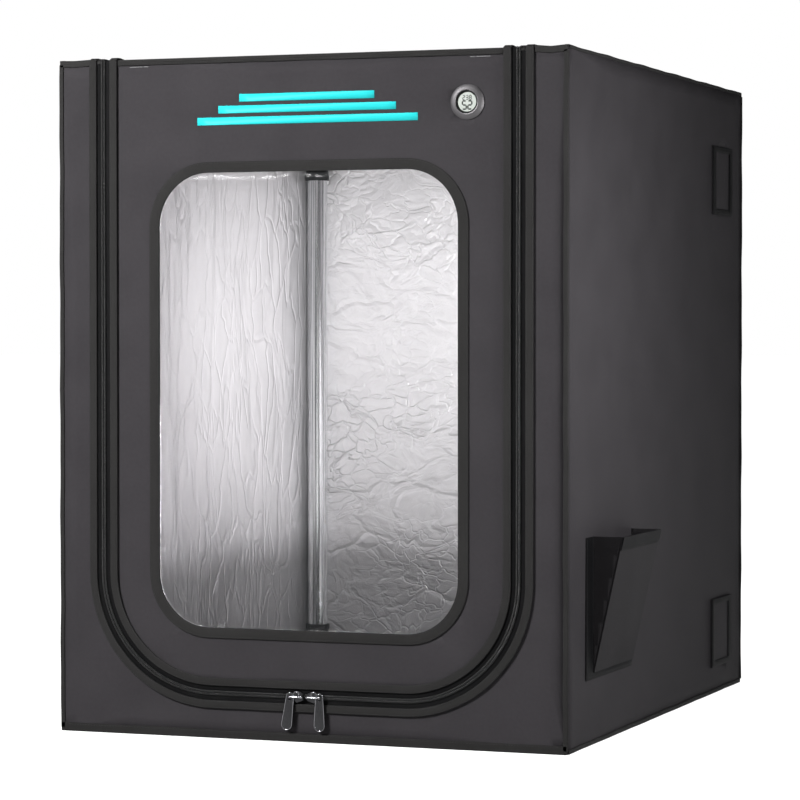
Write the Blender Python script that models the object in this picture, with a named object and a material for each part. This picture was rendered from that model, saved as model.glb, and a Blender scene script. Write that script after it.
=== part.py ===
"""A tent that encloses a desktop 3-D printer: a box of cloth, lined with foil, stretched over a frame of
steel tubes and plastic corner connectors. A flap with a clear window closes the front with a U-shaped zip.

Metres, +Z up. The origin is at the middle of the underside, the front faces -Y, and the pocket and the
cable ports are on the right wall, at +X. Each sub-part is one named object, closed and clear of its
neighbours.
"""

from math import cos, pi, radians, sin

import bmesh
import bpy
from mathutils import Matrix, Vector

# Driving dimensions
WIDTH = 0.570
DEPTH = 0.710
HEIGHT = 0.720
CLOTH = 0.0012
GAP = 0.0003

# Frame: tubes run at one inset from the outer faces, so that the sleeves just clear the cloth
TUBE_R = 0.013
TUBE_WALL = 0.001
SLEEVE_RADII = {"X": 0.0161, "Y": 0.0158, "Z": 0.0165}
INSET = 0.019
CORE_HALF = 0.015
SLEEVE_ROOT = 0.0037
SOCKET_START = 0.018
RAIL_SLEEVE = 0.055
TOP_SLEEVE = 0.079
BOTTOM_SLEEVE = 0.036
TUBE_SIDES = 20

# Zip: its centre line runs down, round a quarter circle, along the bottom, and up again
ZIP_X = 0.2335
ZIP_Z = 0.048
ZIP_R = 0.125
ZIP_SPLIT = 0.0005
BINDING_NEAR = 0.008
BINDING_FAR = 0.0162
TAPE_FAR = 0.0145
COIL_NEAR = 0.0004
COIL_FAR = 0.0027
TAPE_THICK = 0.0006
TRIM_THICK = 0.0015
TAIL_LENGTH = 0.018
ARC_STEPS = 12

# Door hinge: in front of the cloth by the depth of the zip, so that the flap folds flat on the roof
HINGE_OUT = 0.003
DOOR_HEM = 0.0064
DOOR_HEM_HALF = 0.2165

# Window
WINDOW_HALF = 0.1685
WINDOW_LOW = 0.117
WINDOW_HIGH = 0.5983
WINDOW_R = 0.057
BORDER = 0.011
BORDER_THICK = 0.001
HEM_THICK = 0.0009
FILM_LAP = 0.009
FILM_THICK = 0.0004

# Zip sliders and pull tabs: the sliders meet at the middle of the bottom run
SLIDER_X = 0.010
SLIDER_THICK = 0.002
SHIELD = ((-0.0080, 0.0028), (-0.0030, 0.0034), (0.0002, 0.0064), (0.0036, 0.0052), (0.0078, 0.0034))
POST_OFF = 0.0065
POST_R = 0.001
POST_FOOT = 0.0005
BAR_R = 0.0009
KNOB_R = 0.0015
BAR_OUT = 0.0078
PULL_THICK = 0.0013
PULL_TOP_R = 0.0042
PULL_END_R = 0.006
PULL_LENGTH = 0.0292
PULL_EYE_R = 0.0024
PULL_EYE_DROP = 0.0005
PULL_LEAN = radians(7.6)

# Thermo-hygrometer
DIAL_X = 0.178
DIAL_Z = 0.6655
DIAL_R = 0.0182
DIAL_CREST_R = 0.0124
DIAL_RIM = 0.0011
DIAL_CREST = 0.0039
BARREL_R = 0.0117
BARREL_BACK = 0.016
RECESS = -0.0004
SCREEN_R = 0.0101
SCREEN_THICK = 0.0008
LENS_FRONT = -0.0028
LENS_BACK = -0.0020
RING_R = 0.017
RING_THICK = 0.0022
CAP_R = 0.0082
CAP_DEPTH = 0.0025
CAP_PROUD = 0.0004
DIAL_STEPS = 32

# Print over the window: three plain bars of transfer film, each shorter than the one below
PRINT_LOW = 0.648
PRINT_HALF = 0.124
PRINT_STEP = 0.024
PRINT_TALL = 0.008
PRINT_PITCH = 0.012
PRINT_THICK = 0.0003

# Cable ports in the right wall
PORT_Y = 0.257
PORT_ZS = {"upper": 0.609, "lower": 0.0717}
PORT_WIDE = 0.090
PORT_TALL = 0.081
PORT_SIDE_BORDER = 0.014
PORT_END_BORDER = 0.007
PORT_TRIM = 0.0008

# Pocket on the right wall
POCKET_FRONT = -0.265
POCKET_REAR = -0.122
POCKET_LOW = 0.075
POCKET_HIGH = 0.217
POCKET_FLARE = 0.033
POCKET_HEM = 0.014
GUSSET_RISE = 0.006
FLANGE_WIDE = 0.026
FLANGE_DROP = 0.0065
FLANGE_THICK = 0.0008

FRONT = -DEPTH / 2
RIGHT = WIDTH / 2
INNER_X = RIGHT - CLOTH
INNER_Y = DEPTH / 2 - CLOTH


def clear_scene():
    for obj in list(bpy.data.objects):
        bpy.data.objects.remove(obj, do_unlink=True)


def finish(name, colour, roughness, metallic=0.0, alpha=1.0):
    """A plain material with one Principled BSDF."""
    material = bpy.data.materials.new(name)
    material.use_nodes = True
    shader = material.node_tree.nodes["Principled BSDF"]
    shader.inputs["Base Color"].default_value = (*colour, 1.0)
    shader.inputs["Roughness"].default_value = roughness
    shader.inputs["Metallic"].default_value = metallic
    shader.inputs["Alpha"].default_value = alpha
    return material


def add(name, bm, material, smooth=False):
    """Turns a bmesh into a named object, with its normals facing out."""
    bmesh.ops.recalc_face_normals(bm, faces=bm.faces)
    mesh = bpy.data.meshes.new(name)
    bm.to_mesh(mesh)
    bm.free()
    if smooth:
        mesh.shade_smooth()
        mesh.set_sharp_from_angle(angle=radians(35))
    mesh.materials.append(material)
    obj = bpy.data.objects.new(name, mesh)
    bpy.context.scene.collection.objects.link(obj)
    return obj


def arc(centre, radius, start, end, steps=ARC_STEPS):
    """Points on an arc in the plane, with its angles in degrees."""
    angles = [radians(start + (end - start) * i / steps) for i in range(steps + 1)]
    return [(centre[0] + radius * cos(a), centre[1] + radius * sin(a)) for a in angles]


def rectangle(low, high):
    return [low, (high[0], low[1]), high, (low[0], high[1])]


def rounded(low, high, radius):
    """A rectangle with round corners, anticlockwise from its lower right corner."""
    corners = (
        ((high[0] - radius, low[1] + radius), -90),
        ((high[0] - radius, high[1] - radius), 0),
        ((low[0] + radius, high[1] - radius), 90),
        ((low[0] + radius, low[1] + radius), 180),
    )
    return [p for centre, start in corners for p in arc(centre, radius, start, start + 90)]


def circle(centre, radius, steps=DIAL_STEPS):
    return arc(centre, radius, 0, 360, steps)[:-1]


def plate(name, loops, normal, low, high, material):
    """A flat piece: an outline, perhaps with holes, drawn square to an axis and filled from low to high."""
    place = {
        "X": lambda a, b, n: (n, a, b),
        "Y": lambda a, b, n: (a, n, b),
        "Z": lambda a, b, n: (a, b, n),
    }[normal]
    bm = bmesh.new()
    for loop in loops:
        points = [bm.verts.new(place(a, b, low)) for a, b in loop]
        for first, second in zip(points, points[1:] + points[:1]):
            bm.edges.new((first, second))
    bmesh.ops.triangle_fill(bm, edges=bm.edges, use_beauty=True, use_dissolve=False)
    grown = bmesh.ops.extrude_face_region(bm, geom=bm.faces[:])
    moved = [g for g in grown["geom"] if isinstance(g, bmesh.types.BMVert)]
    bmesh.ops.translate(bm, verts=moved, vec=Vector(place(0, 0, high - low)))
    return add(name, bm, material)


def block(name, low, high, material):
    bm = bmesh.new()
    bmesh.ops.create_cube(bm, size=1.0)
    for v in bm.verts:
        v.co = [lo + (hi - lo) * (c + 0.5) for lo, hi, c in zip(low, high, v.co)]
    return add(name, bm, material)


def turned(name, profile, material, steps=DIAL_STEPS):
    """A closed profile of (radius, y), spun round a line along Y through the object's origin."""
    bm = bmesh.new()
    points = [bm.verts.new((r, y, 0)) for r, y in profile]
    edges = [bm.edges.new(pair) for pair in zip(points, points[1:] + points[:1])]
    bmesh.ops.spin(
        bm, geom=points + edges, cent=(0, 0, 0), axis=(0, 1, 0), angle=2 * pi, steps=steps, use_merge=True
    )
    bmesh.ops.remove_doubles(bm, verts=bm.verts, dist=1e-6)
    bmesh.ops.dissolve_degenerate(bm, edges=bm.edges, dist=1e-6)
    return add(name, bm, material, smooth=True)


def rod(name, start, end, radius, material, sides=TUBE_SIDES):
    """A solid round bar between two points."""
    line = Vector(end) - Vector(start)
    bm = bmesh.new()
    bmesh.ops.create_cone(
        bm, segments=sides, radius1=radius, radius2=radius, depth=line.length, cap_ends=True
    )
    turn = line.to_track_quat("Z", "Y").to_matrix().to_4x4()
    middle = (Vector(start) + Vector(end)) / 2
    bmesh.ops.transform(bm, verts=bm.verts, matrix=Matrix.Translation(middle) @ turn)
    return add(name, bm, material, smooth=True)


def tool(obj):
    """Makes an object a Boolean operand, which isn't part of the tent."""
    obj.hide_render = True
    obj.display_type = "WIRE"
    return obj


def combine(obj, operation, other):
    modifier = obj.modifiers.new(f"{operation.title()} {other.name}", "BOOLEAN")
    modifier.operation = operation
    modifier.solver = "EXACT"
    modifier.object = tool(other)


def along(axis, centre, sign, distance):
    """The point at a distance from a corner's centre, along X, Y or Z towards the inside."""
    point = list(centre)
    point["XYZ".index(axis)] += sign * distance
    return tuple(point)


clear_scene()
CLOTH_BLACK = finish("cloth_black", (0.065, 0.061, 0.066), 0.85)
BINDING_BLACK = finish("binding_black", (0.040, 0.039, 0.038), 0.75)
WEB_BLACK = finish("web_black", (0.008, 0.008, 0.009), 0.8)
ZIP_BLACK = finish("zip_black", (0.010, 0.010, 0.011), 0.7)
FOIL = finish("foil", (0.82, 0.82, 0.82), 0.3, metallic=1.0)
STEEL = finish("steel", (0.75, 0.77, 0.78), 0.2, metallic=1.0)
CONNECTOR = finish("connector_plastic", (0.008, 0.008, 0.009), 0.45)
FILM = finish("window_film", (0.95, 0.96, 0.97), 0.08, alpha=0.15)
GUNMETAL = finish("gunmetal", (0.10, 0.10, 0.105), 0.35, metallic=1.0)
DIAL_METAL = finish("dial_metal", (0.35, 0.34, 0.35), 0.3, metallic=1.0)
DIAL_BLACK = finish("dial_black", (0.012, 0.012, 0.013), 0.4)
PRINT_CYAN = finish("print_cyan", (0.05, 0.90, 0.92), 0.5)
SCREEN = finish("screen", (0.78, 0.84, 0.77), 0.4)


# Frame: eight corner connectors, each with a socket along X, Y and Z, and twelve hollow tubes
def connector(name, corner, towards):
    """A corner block with three sleeves, which point inwards along the signs in towards."""
    upright = BOTTOM_SLEEVE if towards[2] > 0 else TOP_SLEEVE
    lengths = {"X": RAIL_SLEEVE, "Y": RAIL_SLEEVE, "Z": upright}
    low = [c - CORE_HALF for c in corner]
    high = [c + CORE_HALF for c in corner]
    body = block(name, low, high, CONNECTOR)
    for axis, sign in zip("XYZ", towards):
        root = along(axis, corner, sign, -SLEEVE_ROOT)
        end = along(axis, corner, sign, lengths[axis])
        combine(body, "UNION", rod(f"{name}_sleeve_{axis}", root, end, SLEEVE_RADII[axis], CONNECTOR))
    for axis, sign in zip("XYZ", towards):
        start = along(axis, corner, sign, SOCKET_START)
        past = along(axis, corner, sign, lengths[axis] + 0.01)
        combine(body, "DIFFERENCE", rod(f"{name}_bore_{axis}", start, past, TUBE_R + GAP, CONNECTOR))


def tube(name, start, end):
    outer = rod(name, start, end, TUBE_R, STEEL)
    line = (Vector(end) - Vector(start)).normalized() * 0.01
    bore = rod(f"{name}_bore", Vector(start) - line, Vector(end) + line, TUBE_R - TUBE_WALL, STEEL)
    combine(outer, "DIFFERENCE", bore)


RAIL_X = RIGHT - INSET
RAIL_Y = DEPTH / 2 - INSET
LEVELS = {"bottom": INSET, "top": HEIGHT - INSET}
SIDES = {"left": -RAIL_X, "right": RAIL_X}
ENDS = {"front": -RAIL_Y, "back": RAIL_Y}
TUBE_END = SOCKET_START + GAP

for end, y in ENDS.items():
    for side, x in SIDES.items():
        for level, z in LEVELS.items():
            inwards = (-1 if x > 0 else 1, -1 if y > 0 else 1, 1 if level == "bottom" else -1)
            connector(f"connector_{end}_{side}_{level}", (x, y, z), inwards)
        low = LEVELS["bottom"] + TUBE_END
        high = LEVELS["top"] - TUBE_END
        tube(f"tube_upright_{end}_{side}", (x, y, low), (x, y, high))
    for level, z in LEVELS.items():
        tube(f"tube_width_{end}_{level}", (TUBE_END - RAIL_X, y, z), (RAIL_X - TUBE_END, y, z))
for side, x in SIDES.items():
    for level, z in LEVELS.items():
        tube(f"tube_depth_{side}_{level}", (x, TUBE_END - RAIL_Y, z), (x, RAIL_Y - TUBE_END, z))


# Cover: five walls and a floor sheet; the front wall is a U round the door
def zip_line(offset, top):
    """The zip's centre line, moved outwards by offset: down on the left, along and up on the right."""
    centre_x = ZIP_X - ZIP_R
    centre_z = ZIP_Z + ZIP_R
    left = arc((-centre_x, centre_z), ZIP_R + offset, 180, 270)
    right = arc((centre_x, centre_z), ZIP_R + offset, 270, 360)
    return [(-ZIP_X - offset, top), *left, *right, (ZIP_X + offset, top)]


def zip_band(near, far, top):
    """The outline of a strip along the zip, between two distances from its centre line."""
    return zip_line(far, top) + zip_line(near, top)[::-1]


surround = [(-RIGHT, HEIGHT), (-RIGHT, 0), (RIGHT, 0), (RIGHT, HEIGHT)] + zip_line(ZIP_SPLIT, HEIGHT)[::-1]
plate("cover_front", [surround], "Y", FRONT, FRONT + CLOTH, CLOTH_BLACK)
plate("cover_back", [rectangle((-RIGHT, 0), (RIGHT, HEIGHT))], "Y", INNER_Y, DEPTH / 2, CLOTH_BLACK)

wall_y = INNER_Y - GAP
wall = rectangle((-wall_y, 0), (wall_y, HEIGHT))
plate("cover_left", [wall], "X", -RIGHT, -INNER_X, CLOTH_BLACK)
hole_y = PORT_WIDE / 2 - PORT_SIDE_BORDER
hole_z = PORT_TALL / 2 - PORT_END_BORDER
port_holes = [
    rectangle((PORT_Y - hole_y, z - hole_z), (PORT_Y + hole_y, z + hole_z)) for z in PORT_ZS.values()
]
plate("cover_right", [wall, *port_holes], "X", INNER_X, RIGHT, CLOTH_BLACK)

sheet_x = INNER_X - GAP
sheet = [rectangle((-sheet_x, -wall_y), (sheet_x, wall_y))]
plate("cover_roof", sheet, "Z", HEIGHT - CLOTH, HEIGHT, CLOTH_BLACK)
plate("cover_floor", sheet, "Z", 0, CLOTH, FOIL)


# Door: its axis runs along the top front edge, in an empty that carries all its pieces
door = bpy.data.objects.new("door_axis", None)
door.location = (0, FRONT - HINGE_OUT, HEIGHT)
bpy.context.scene.collection.objects.link(door)


def hang(obj, parent, place=None):
    """Parents a piece to an axis, and leaves it where it is unless a place is given."""
    bpy.context.view_layer.update()
    obj.parent = parent
    obj.matrix_parent_inverse = parent.matrix_world.inverted()
    if place is not None:
        obj.location = place
    return obj


def window_outline(margin, radius):
    """The window's rounded rectangle, larger by a margin on every side."""
    half = WINDOW_HALF + margin
    return rounded((-half, WINDOW_LOW - margin), (half, WINDOW_HIGH + margin), radius)


door_top = HEIGHT - GAP
window = window_outline(0, WINDOW_R)
dial_hole = circle((DIAL_X, DIAL_Z), BARREL_R + GAP)
door_cloth = [zip_line(-ZIP_SPLIT, door_top), window, dial_hole]
hang(plate("door_panel", door_cloth, "Y", FRONT, FRONT + CLOTH, CLOTH_BLACK), door)

border_outer = window_outline(BORDER, WINDOW_R + BORDER)
border_front = FRONT - GAP - BORDER_THICK
hang(plate("window_border", [border_outer, window], "Y", border_front, FRONT - GAP, BINDING_BLACK), door)

film = window_outline(FILM_LAP, WINDOW_R)
film_front = FRONT + CLOTH + GAP
hang(plate("window_film", [film], "Y", film_front, film_front + FILM_THICK, FILM), door)

hem = rectangle((-DOOR_HEM_HALF, door_top - DOOR_HEM), (DOOR_HEM_HALF, door_top))
hang(plate("door_hem", [hem], "Y", FRONT - GAP - HEM_THICK, FRONT - GAP, BINDING_BLACK), door)

for row, level in enumerate(("low", "middle", "high")):
    half = PRINT_HALF - row * PRINT_STEP
    z = PRINT_LOW + row * PRINT_PITCH
    bar = rectangle((-half, z), (half, z + PRINT_TALL))
    hang(plate(f"print_bar_{level}", [bar], "Y", FRONT - GAP - PRINT_THICK, FRONT - GAP, PRINT_CYAN), door)

# Zip: on each side of the centre line a tape, and on it half of the coil and a bound strip
tape_front = FRONT - GAP - TAPE_THICK
trim_front = tape_front - GAP - TRIM_THICK
strips = {
    "tape": (ZIP_SPLIT, TAPE_FAR, tape_front, FRONT - GAP, ZIP_BLACK),
    "coil": (COIL_NEAR, COIL_FAR, trim_front, tape_front - GAP, ZIP_BLACK),
    "binding": (BINDING_NEAR, BINDING_FAR, trim_front, tape_front - GAP, BINDING_BLACK),
}
for part, (near, far, front, back, material) in strips.items():
    plate(f"zip_{part}_frame", [zip_band(near, far, HEIGHT)], "Y", front, back, material)
    hang(plate(f"zip_{part}_door", [zip_band(-far, -near, door_top)], "Y", front, back, material), door)
for side, sign in (("left", -1), ("right", 1)):
    xs = sorted((sign * (ZIP_X + ZIP_SPLIT), sign * (ZIP_X + BINDING_FAR)))
    low = (xs[0], FRONT + GAP, HEIGHT + GAP)
    block(f"zip_tail_{side}", low, (xs[1], FRONT + TAIL_LENGTH, HEIGHT + GAP + TRIM_THICK), BINDING_BLACK)


# Zip sliders: a shield-shaped plate with a bar over it, and a pull tab threaded on the bar's outer post
def slider(side, sign):
    """The slider and its pull on one side; sign is -1 on the left and 1 on the right."""
    plate_back = trim_front - GAP
    plate_front = plate_back - SLIDER_THICK
    bar_y = FRONT - BAR_OUT
    x = sign * SLIDER_X
    upper = [(x - sign * a, ZIP_Z + b) for a, b in SHIELD]
    lower = [(x - sign * a, ZIP_Z - b) for a, b in SHIELD[::-1]]
    shield = upper + lower
    body = plate(f"slider_{side}", [shield], "Y", plate_front, plate_back, GUNMETAL)
    inner = (x - sign * POST_OFF, bar_y, ZIP_Z)
    outer = (x + sign * POST_OFF, bar_y, ZIP_Z)
    for end, point in (("inner", inner), ("outer", outer)):
        foot = (point[0], plate_front + POST_FOOT, ZIP_Z)
        combine(body, "UNION", rod(f"slider_{side}_post_{end}", foot, point, POST_R, GUNMETAL, 8))
    combine(body, "UNION", rod(f"slider_{side}_bar", inner, outer, BAR_R, GUNMETAL, 8))
    for end, point in (("inner", inner), ("outer", outer)):
        bm = bmesh.new()
        bmesh.ops.create_uvsphere(bm, u_segments=8, v_segments=6, radius=KNOB_R)
        bmesh.ops.translate(bm, verts=bm.verts, vec=point)
        combine(body, "UNION", add(f"slider_{side}_knob_{end}", bm, GUNMETAL))
    hang(body, door)

    # The pull is drawn round its post, hanging straight down, and then leans on the left side only.
    top = arc((0, 0), PULL_TOP_R, 0, 180, 8)
    end = arc((0, -PULL_LENGTH), PULL_END_R, 180, 360, 8)
    eye = circle((0, -PULL_EYE_DROP), PULL_EYE_R, 12)
    pull_front = plate_front - GAP - PULL_THICK
    pull = plate(f"pull_{side}", [top + end, eye], "Y", pull_front, pull_front + PULL_THICK, GUNMETAL)
    pull.location = (outer[0], 0, ZIP_Z)
    pull.rotation_euler = (0, PULL_LEAN if sign < 0 else 0, 0)
    hang(pull, body)


slider("left", -1)
slider("right", 1)


# Thermo-hygrometer: pieces turned round one line along Y, with FRONT as the zero of their depth
def dial_piece(name, profile, material):
    piece = turned(name, profile, material)
    piece.location = (DIAL_X, FRONT, DIAL_Z)
    hang(piece, door)


def band(inner, outer, front, back):
    """The profile of a ring, or of a disc where inner is 0."""
    return [(inner, front), (outer, front), (outer, back), (inner, back)]


bore = BARREL_R + GAP
bezel = [
    (bore, -GAP),
    (DIAL_R, -GAP),
    (DIAL_R, -DIAL_RIM),
    (DIAL_CREST_R, -DIAL_CREST),
    (bore, -DIAL_CREST),
]
cap_floor = BARREL_BACK - CAP_DEPTH
cap_seat = CAP_R + GAP
barrel = [
    (0, RECESS),
    (SCREEN_R + GAP, RECESS),
    (SCREEN_R + GAP, -DIAL_CREST + GAP),
    (BARREL_R, -DIAL_CREST + GAP),
    (BARREL_R, BARREL_BACK),
    (cap_seat, BARREL_BACK),
    (cap_seat, cap_floor),
    (0, cap_floor),
]
screen_back = RECESS - GAP
ring_front = CLOTH + GAP
dial_piece("dial_bezel", bezel, DIAL_METAL)
dial_piece("dial_barrel", barrel, DIAL_BLACK)
dial_piece("dial_screen", band(0, SCREEN_R, screen_back - SCREEN_THICK, screen_back), SCREEN)
dial_piece("dial_lens", band(0, SCREEN_R, LENS_FRONT, LENS_BACK), FILM)
dial_piece("dial_ring", band(bore, RING_R, ring_front, ring_front + RING_THICK), DIAL_BLACK)
dial_piece("dial_battery_cap", band(0, CAP_R, cap_floor + GAP, BARREL_BACK + CAP_PROUD), DIAL_BLACK)


# Cable ports: each flap turns up about its sewn top edge, and a bound border is sewn round its face
def port(level, z):
    flap_back = RIGHT + GAP
    flap_front = flap_back + CLOTH
    trim_back = flap_front + GAP
    half_y = PORT_WIDE / 2
    half_z = PORT_TALL / 2
    outer = rectangle((PORT_Y - half_y, z - half_z), (PORT_Y + half_y, z + half_z))
    inner = rectangle((PORT_Y - hole_y, z - hole_z), (PORT_Y + hole_y, z + hole_z))
    axis = bpy.data.objects.new(f"port_axis_{level}", None)
    axis.location = (trim_back + PORT_TRIM, PORT_Y, z + half_z + GAP)
    bpy.context.scene.collection.objects.link(axis)
    hang(plate(f"port_flap_{level}", [outer], "X", flap_back, flap_front, CLOTH_BLACK), axis)
    trim = plate(f"port_border_{level}", [outer, inner], "X", trim_back, trim_back + PORT_TRIM, WEB_BLACK)
    hang(trim, axis)


for level, z in PORT_ZS.items():
    port(level, z)

# Pocket: a sloping front between two gussets, hinged along its sewn bottom edge
pocket = bpy.data.objects.new("pocket_axis", None)
pocket.location = (RIGHT + 2 * GAP, 0, POCKET_LOW)
bpy.context.scene.collection.objects.link(pocket)
foot = RIGHT + 2 * GAP
mouth = RIGHT + POCKET_FLARE
slope = [(foot, POCKET_LOW), (foot + CLOTH, POCKET_LOW), (mouth, POCKET_HIGH), (mouth - CLOTH, POCKET_HIGH)]
hang(plate("pocket_front", [slope], "Y", POCKET_FRONT, POCKET_REAR, CLOTH_BLACK), pocket)

lean = (mouth - CLOTH - foot) / (POCKET_HIGH - POCKET_LOW)
hem_low = mouth - lean * POCKET_HEM + GAP
hem_outline = [
    (hem_low, POCKET_HIGH - POCKET_HEM),
    (hem_low + PORT_TRIM, POCKET_HIGH - POCKET_HEM),
    (mouth + GAP + PORT_TRIM, POCKET_HIGH),
    (mouth + GAP, POCKET_HIGH),
]
hang(plate("pocket_hem", [hem_outline], "Y", POCKET_FRONT, POCKET_REAR, WEB_BLACK), pocket)

gusset_low = POCKET_LOW + GUSSET_RISE
gusset_clear = 1.5 * GAP
gusset = [
    (RIGHT + GAP, gusset_low),
    (foot + lean * GUSSET_RISE - gusset_clear, gusset_low),
    (mouth - CLOTH - gusset_clear, POCKET_HIGH),
    (RIGHT + GAP, POCKET_HIGH),
]
for end, y in (("front", POCKET_FRONT + GAP), ("rear", POCKET_REAR - GAP - CLOTH)):
    plate(f"pocket_gusset_{end}", [gusset], "Y", y, y + CLOTH, CLOTH_BLACK)

flange_y = POCKET_FRONT - GAP
flange = [
    (flange_y - FLANGE_WIDE, POCKET_LOW - FLANGE_DROP),
    (POCKET_REAR, POCKET_LOW - FLANGE_DROP),
    (POCKET_REAR, POCKET_LOW - GAP),
    (flange_y, POCKET_LOW - GAP),
    (flange_y, POCKET_HIGH),
    (flange_y - FLANGE_WIDE, POCKET_HIGH),
]
plate("pocket_flange", [flange], "X", RIGHT + GAP, RIGHT + GAP + FLANGE_THICK, WEB_BLACK)
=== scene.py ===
"""The looks of a cloth tent that encloses a desktop 3-D printer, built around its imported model."""

from math import cos, pi, radians, sin

import bmesh
import bpy
import numpy as np
from mathutils import Matrix, Vector


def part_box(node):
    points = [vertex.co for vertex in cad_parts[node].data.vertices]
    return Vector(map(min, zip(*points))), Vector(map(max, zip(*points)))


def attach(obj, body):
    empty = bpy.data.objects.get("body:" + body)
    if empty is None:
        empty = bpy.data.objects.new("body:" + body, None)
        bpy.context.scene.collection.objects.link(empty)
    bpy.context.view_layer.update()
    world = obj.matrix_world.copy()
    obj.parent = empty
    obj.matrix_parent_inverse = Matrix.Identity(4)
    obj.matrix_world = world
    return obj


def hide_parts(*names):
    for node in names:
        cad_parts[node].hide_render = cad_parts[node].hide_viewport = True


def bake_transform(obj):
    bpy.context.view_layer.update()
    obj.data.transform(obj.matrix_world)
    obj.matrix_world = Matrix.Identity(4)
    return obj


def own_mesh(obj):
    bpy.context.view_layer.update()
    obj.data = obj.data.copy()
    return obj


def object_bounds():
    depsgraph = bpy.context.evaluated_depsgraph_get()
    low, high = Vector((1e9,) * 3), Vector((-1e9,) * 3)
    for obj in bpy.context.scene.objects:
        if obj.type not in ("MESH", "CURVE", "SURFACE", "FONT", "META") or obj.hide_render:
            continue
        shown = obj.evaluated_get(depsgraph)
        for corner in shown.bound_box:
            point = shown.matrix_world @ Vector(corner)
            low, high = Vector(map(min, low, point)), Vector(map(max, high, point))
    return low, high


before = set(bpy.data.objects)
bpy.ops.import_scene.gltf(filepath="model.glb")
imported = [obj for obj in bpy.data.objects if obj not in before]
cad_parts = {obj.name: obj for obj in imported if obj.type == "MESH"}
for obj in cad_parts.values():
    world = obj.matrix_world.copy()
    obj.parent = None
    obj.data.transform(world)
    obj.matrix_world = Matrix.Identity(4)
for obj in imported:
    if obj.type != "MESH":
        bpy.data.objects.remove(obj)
cad_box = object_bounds()


# ---------------------------------------------------------------------------------------------
# Studio: a white floor under a white sky, a soft key light from the upper left, one overhead and
# a smaller one in line with the front, which fades along the right wall. A lamp hangs in the
# tent, and an unseen light behind it brings out the back wall.

camera_data = bpy.data.cameras.new("camera")
camera_data.sensor_width = 36
camera_data.lens = 141.7
camera = bpy.data.objects.new("camera", camera_data)
camera.location = (1.2401, -3.4045, 0.4353)
camera.rotation_euler = (radians(88.67), 0, radians(20.43))
bpy.context.scene.collection.objects.link(camera)
bpy.context.scene.camera = camera
bpy.context.scene.view_settings.view_transform = "Standard"

FLOOR_HALF = 40
floor_mesh = bpy.data.meshes.new("floor")
floor_corners = [(-FLOOR_HALF, -FLOOR_HALF), (FLOOR_HALF, -FLOOR_HALF), (FLOOR_HALF, FLOOR_HALF),
    (-FLOOR_HALF, FLOOR_HALF)]
floor_mesh.from_pydata([(x, y, cad_box[0].z) for x, y in floor_corners], [], [(0, 1, 2, 3)])
floor = bpy.data.objects.new("floor", floor_mesh)
bpy.context.scene.collection.objects.link(floor)
floor_paint = bpy.data.materials.new("floor_paint")
floor_paint.use_nodes = True
floor_shader = floor_paint.node_tree.nodes["Principled BSDF"]
floor_shader.inputs["Base Color"].default_value = (0.15, 0.15, 0.15, 1)
floor_shader.inputs["Roughness"].default_value = 0.9
floor_shader.inputs["Emission Color"].default_value = (1, 1, 1, 1)
floor_shader.inputs["Emission Strength"].default_value = 0.94
floor_shader.inputs["Specular IOR Level"].default_value = 0.1
floor_mesh.materials.append(floor_paint)


def soft_light(name, place, aim, width, power, visible=True, spread=180):
    """A square area light at a place, turned to a point."""
    lamp = bpy.data.lights.new(name, "AREA")
    lamp.size = width
    lamp.energy = power
    lamp.spread = radians(spread)
    obj = bpy.data.objects.new(name, lamp)
    obj.location = place
    obj.rotation_euler = (Vector(aim) - Vector(place)).to_track_quat("-Z", "Y").to_euler()
    obj.visible_camera = False
    obj.visible_glossy = visible
    bpy.context.scene.collection.objects.link(obj)
    return obj


soft_light("key_light", (-1.0, -2.0, 1.45), (0, -0.35, 0.38), 0.5, 76, spread=100)
soft_light("side_light", (0.92, -0.44, 0.54), (0.285, -0.34, 0.47), 0.35, 11.0, spread=120)
soft_light("lamp_inside", (0.04, -0.20, 0.42), (-0.08, 0.35, 0.46), 0.16, 4.6, visible=False, spread=110)
soft_light("rear_light", (-0.9, 2.4, 1.5), (0, 0.35, 0.36), 1.2, 50, visible=False, spread=100)

overhead = bpy.data.lights.new("overhead", "SUN")
overhead.energy = 1.2
overhead.angle = radians(40)
overhead_obj = bpy.data.objects.new("overhead", overhead)
bpy.context.scene.collection.objects.link(overhead_obj)

sky = bpy.data.worlds.new("sky")
sky.use_nodes = True
bpy.context.scene.world = sky
SKY_LIGHT = 0.12
sky_tree = sky.node_tree
sky_paths = sky_tree.nodes.new("ShaderNodeLightPath")
sky_strength = sky_tree.nodes.new("ShaderNodeMapRange")
sky_strength.inputs["To Min"].default_value = SKY_LIGHT
sky_strength.inputs["To Max"].default_value = 1.0
sky_tree.links.new(sky_paths.outputs["Is Camera Ray"], sky_strength.inputs["Value"])
sky_tree.nodes["Background"].inputs["Color"].default_value = (1, 1, 1, 1)
sky_tree.links.new(sky_strength.outputs["Result"], sky_tree.nodes["Background"].inputs["Strength"])


# ---------------------------------------------------------------------------------------------
# Tubes: twelve lengths of plated steel tube, 26 mm across with a 1 mm wall, cut square and
# deburred. They push into the corner connectors and are polished, with faint lines from drawing.


def node(tree, kind, inputs=(), **settings):
    """Adds a node with its settings, and sets or links its inputs."""
    made = tree.nodes.new(kind)
    for key, value in settings.items():
        setattr(made, key, value)
    for key, value in dict(inputs).items():
        if isinstance(value, bpy.types.NodeSocket):
            tree.links.new(value, made.inputs[key])
        else:
            made.inputs[key].default_value = value
    return made


def sum_up(tree, operation, first, second=0.0):
    """A Math node's result."""
    return node(tree, "ShaderNodeMath", {0: first, 1: second}, operation=operation).outputs[0]


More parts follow.
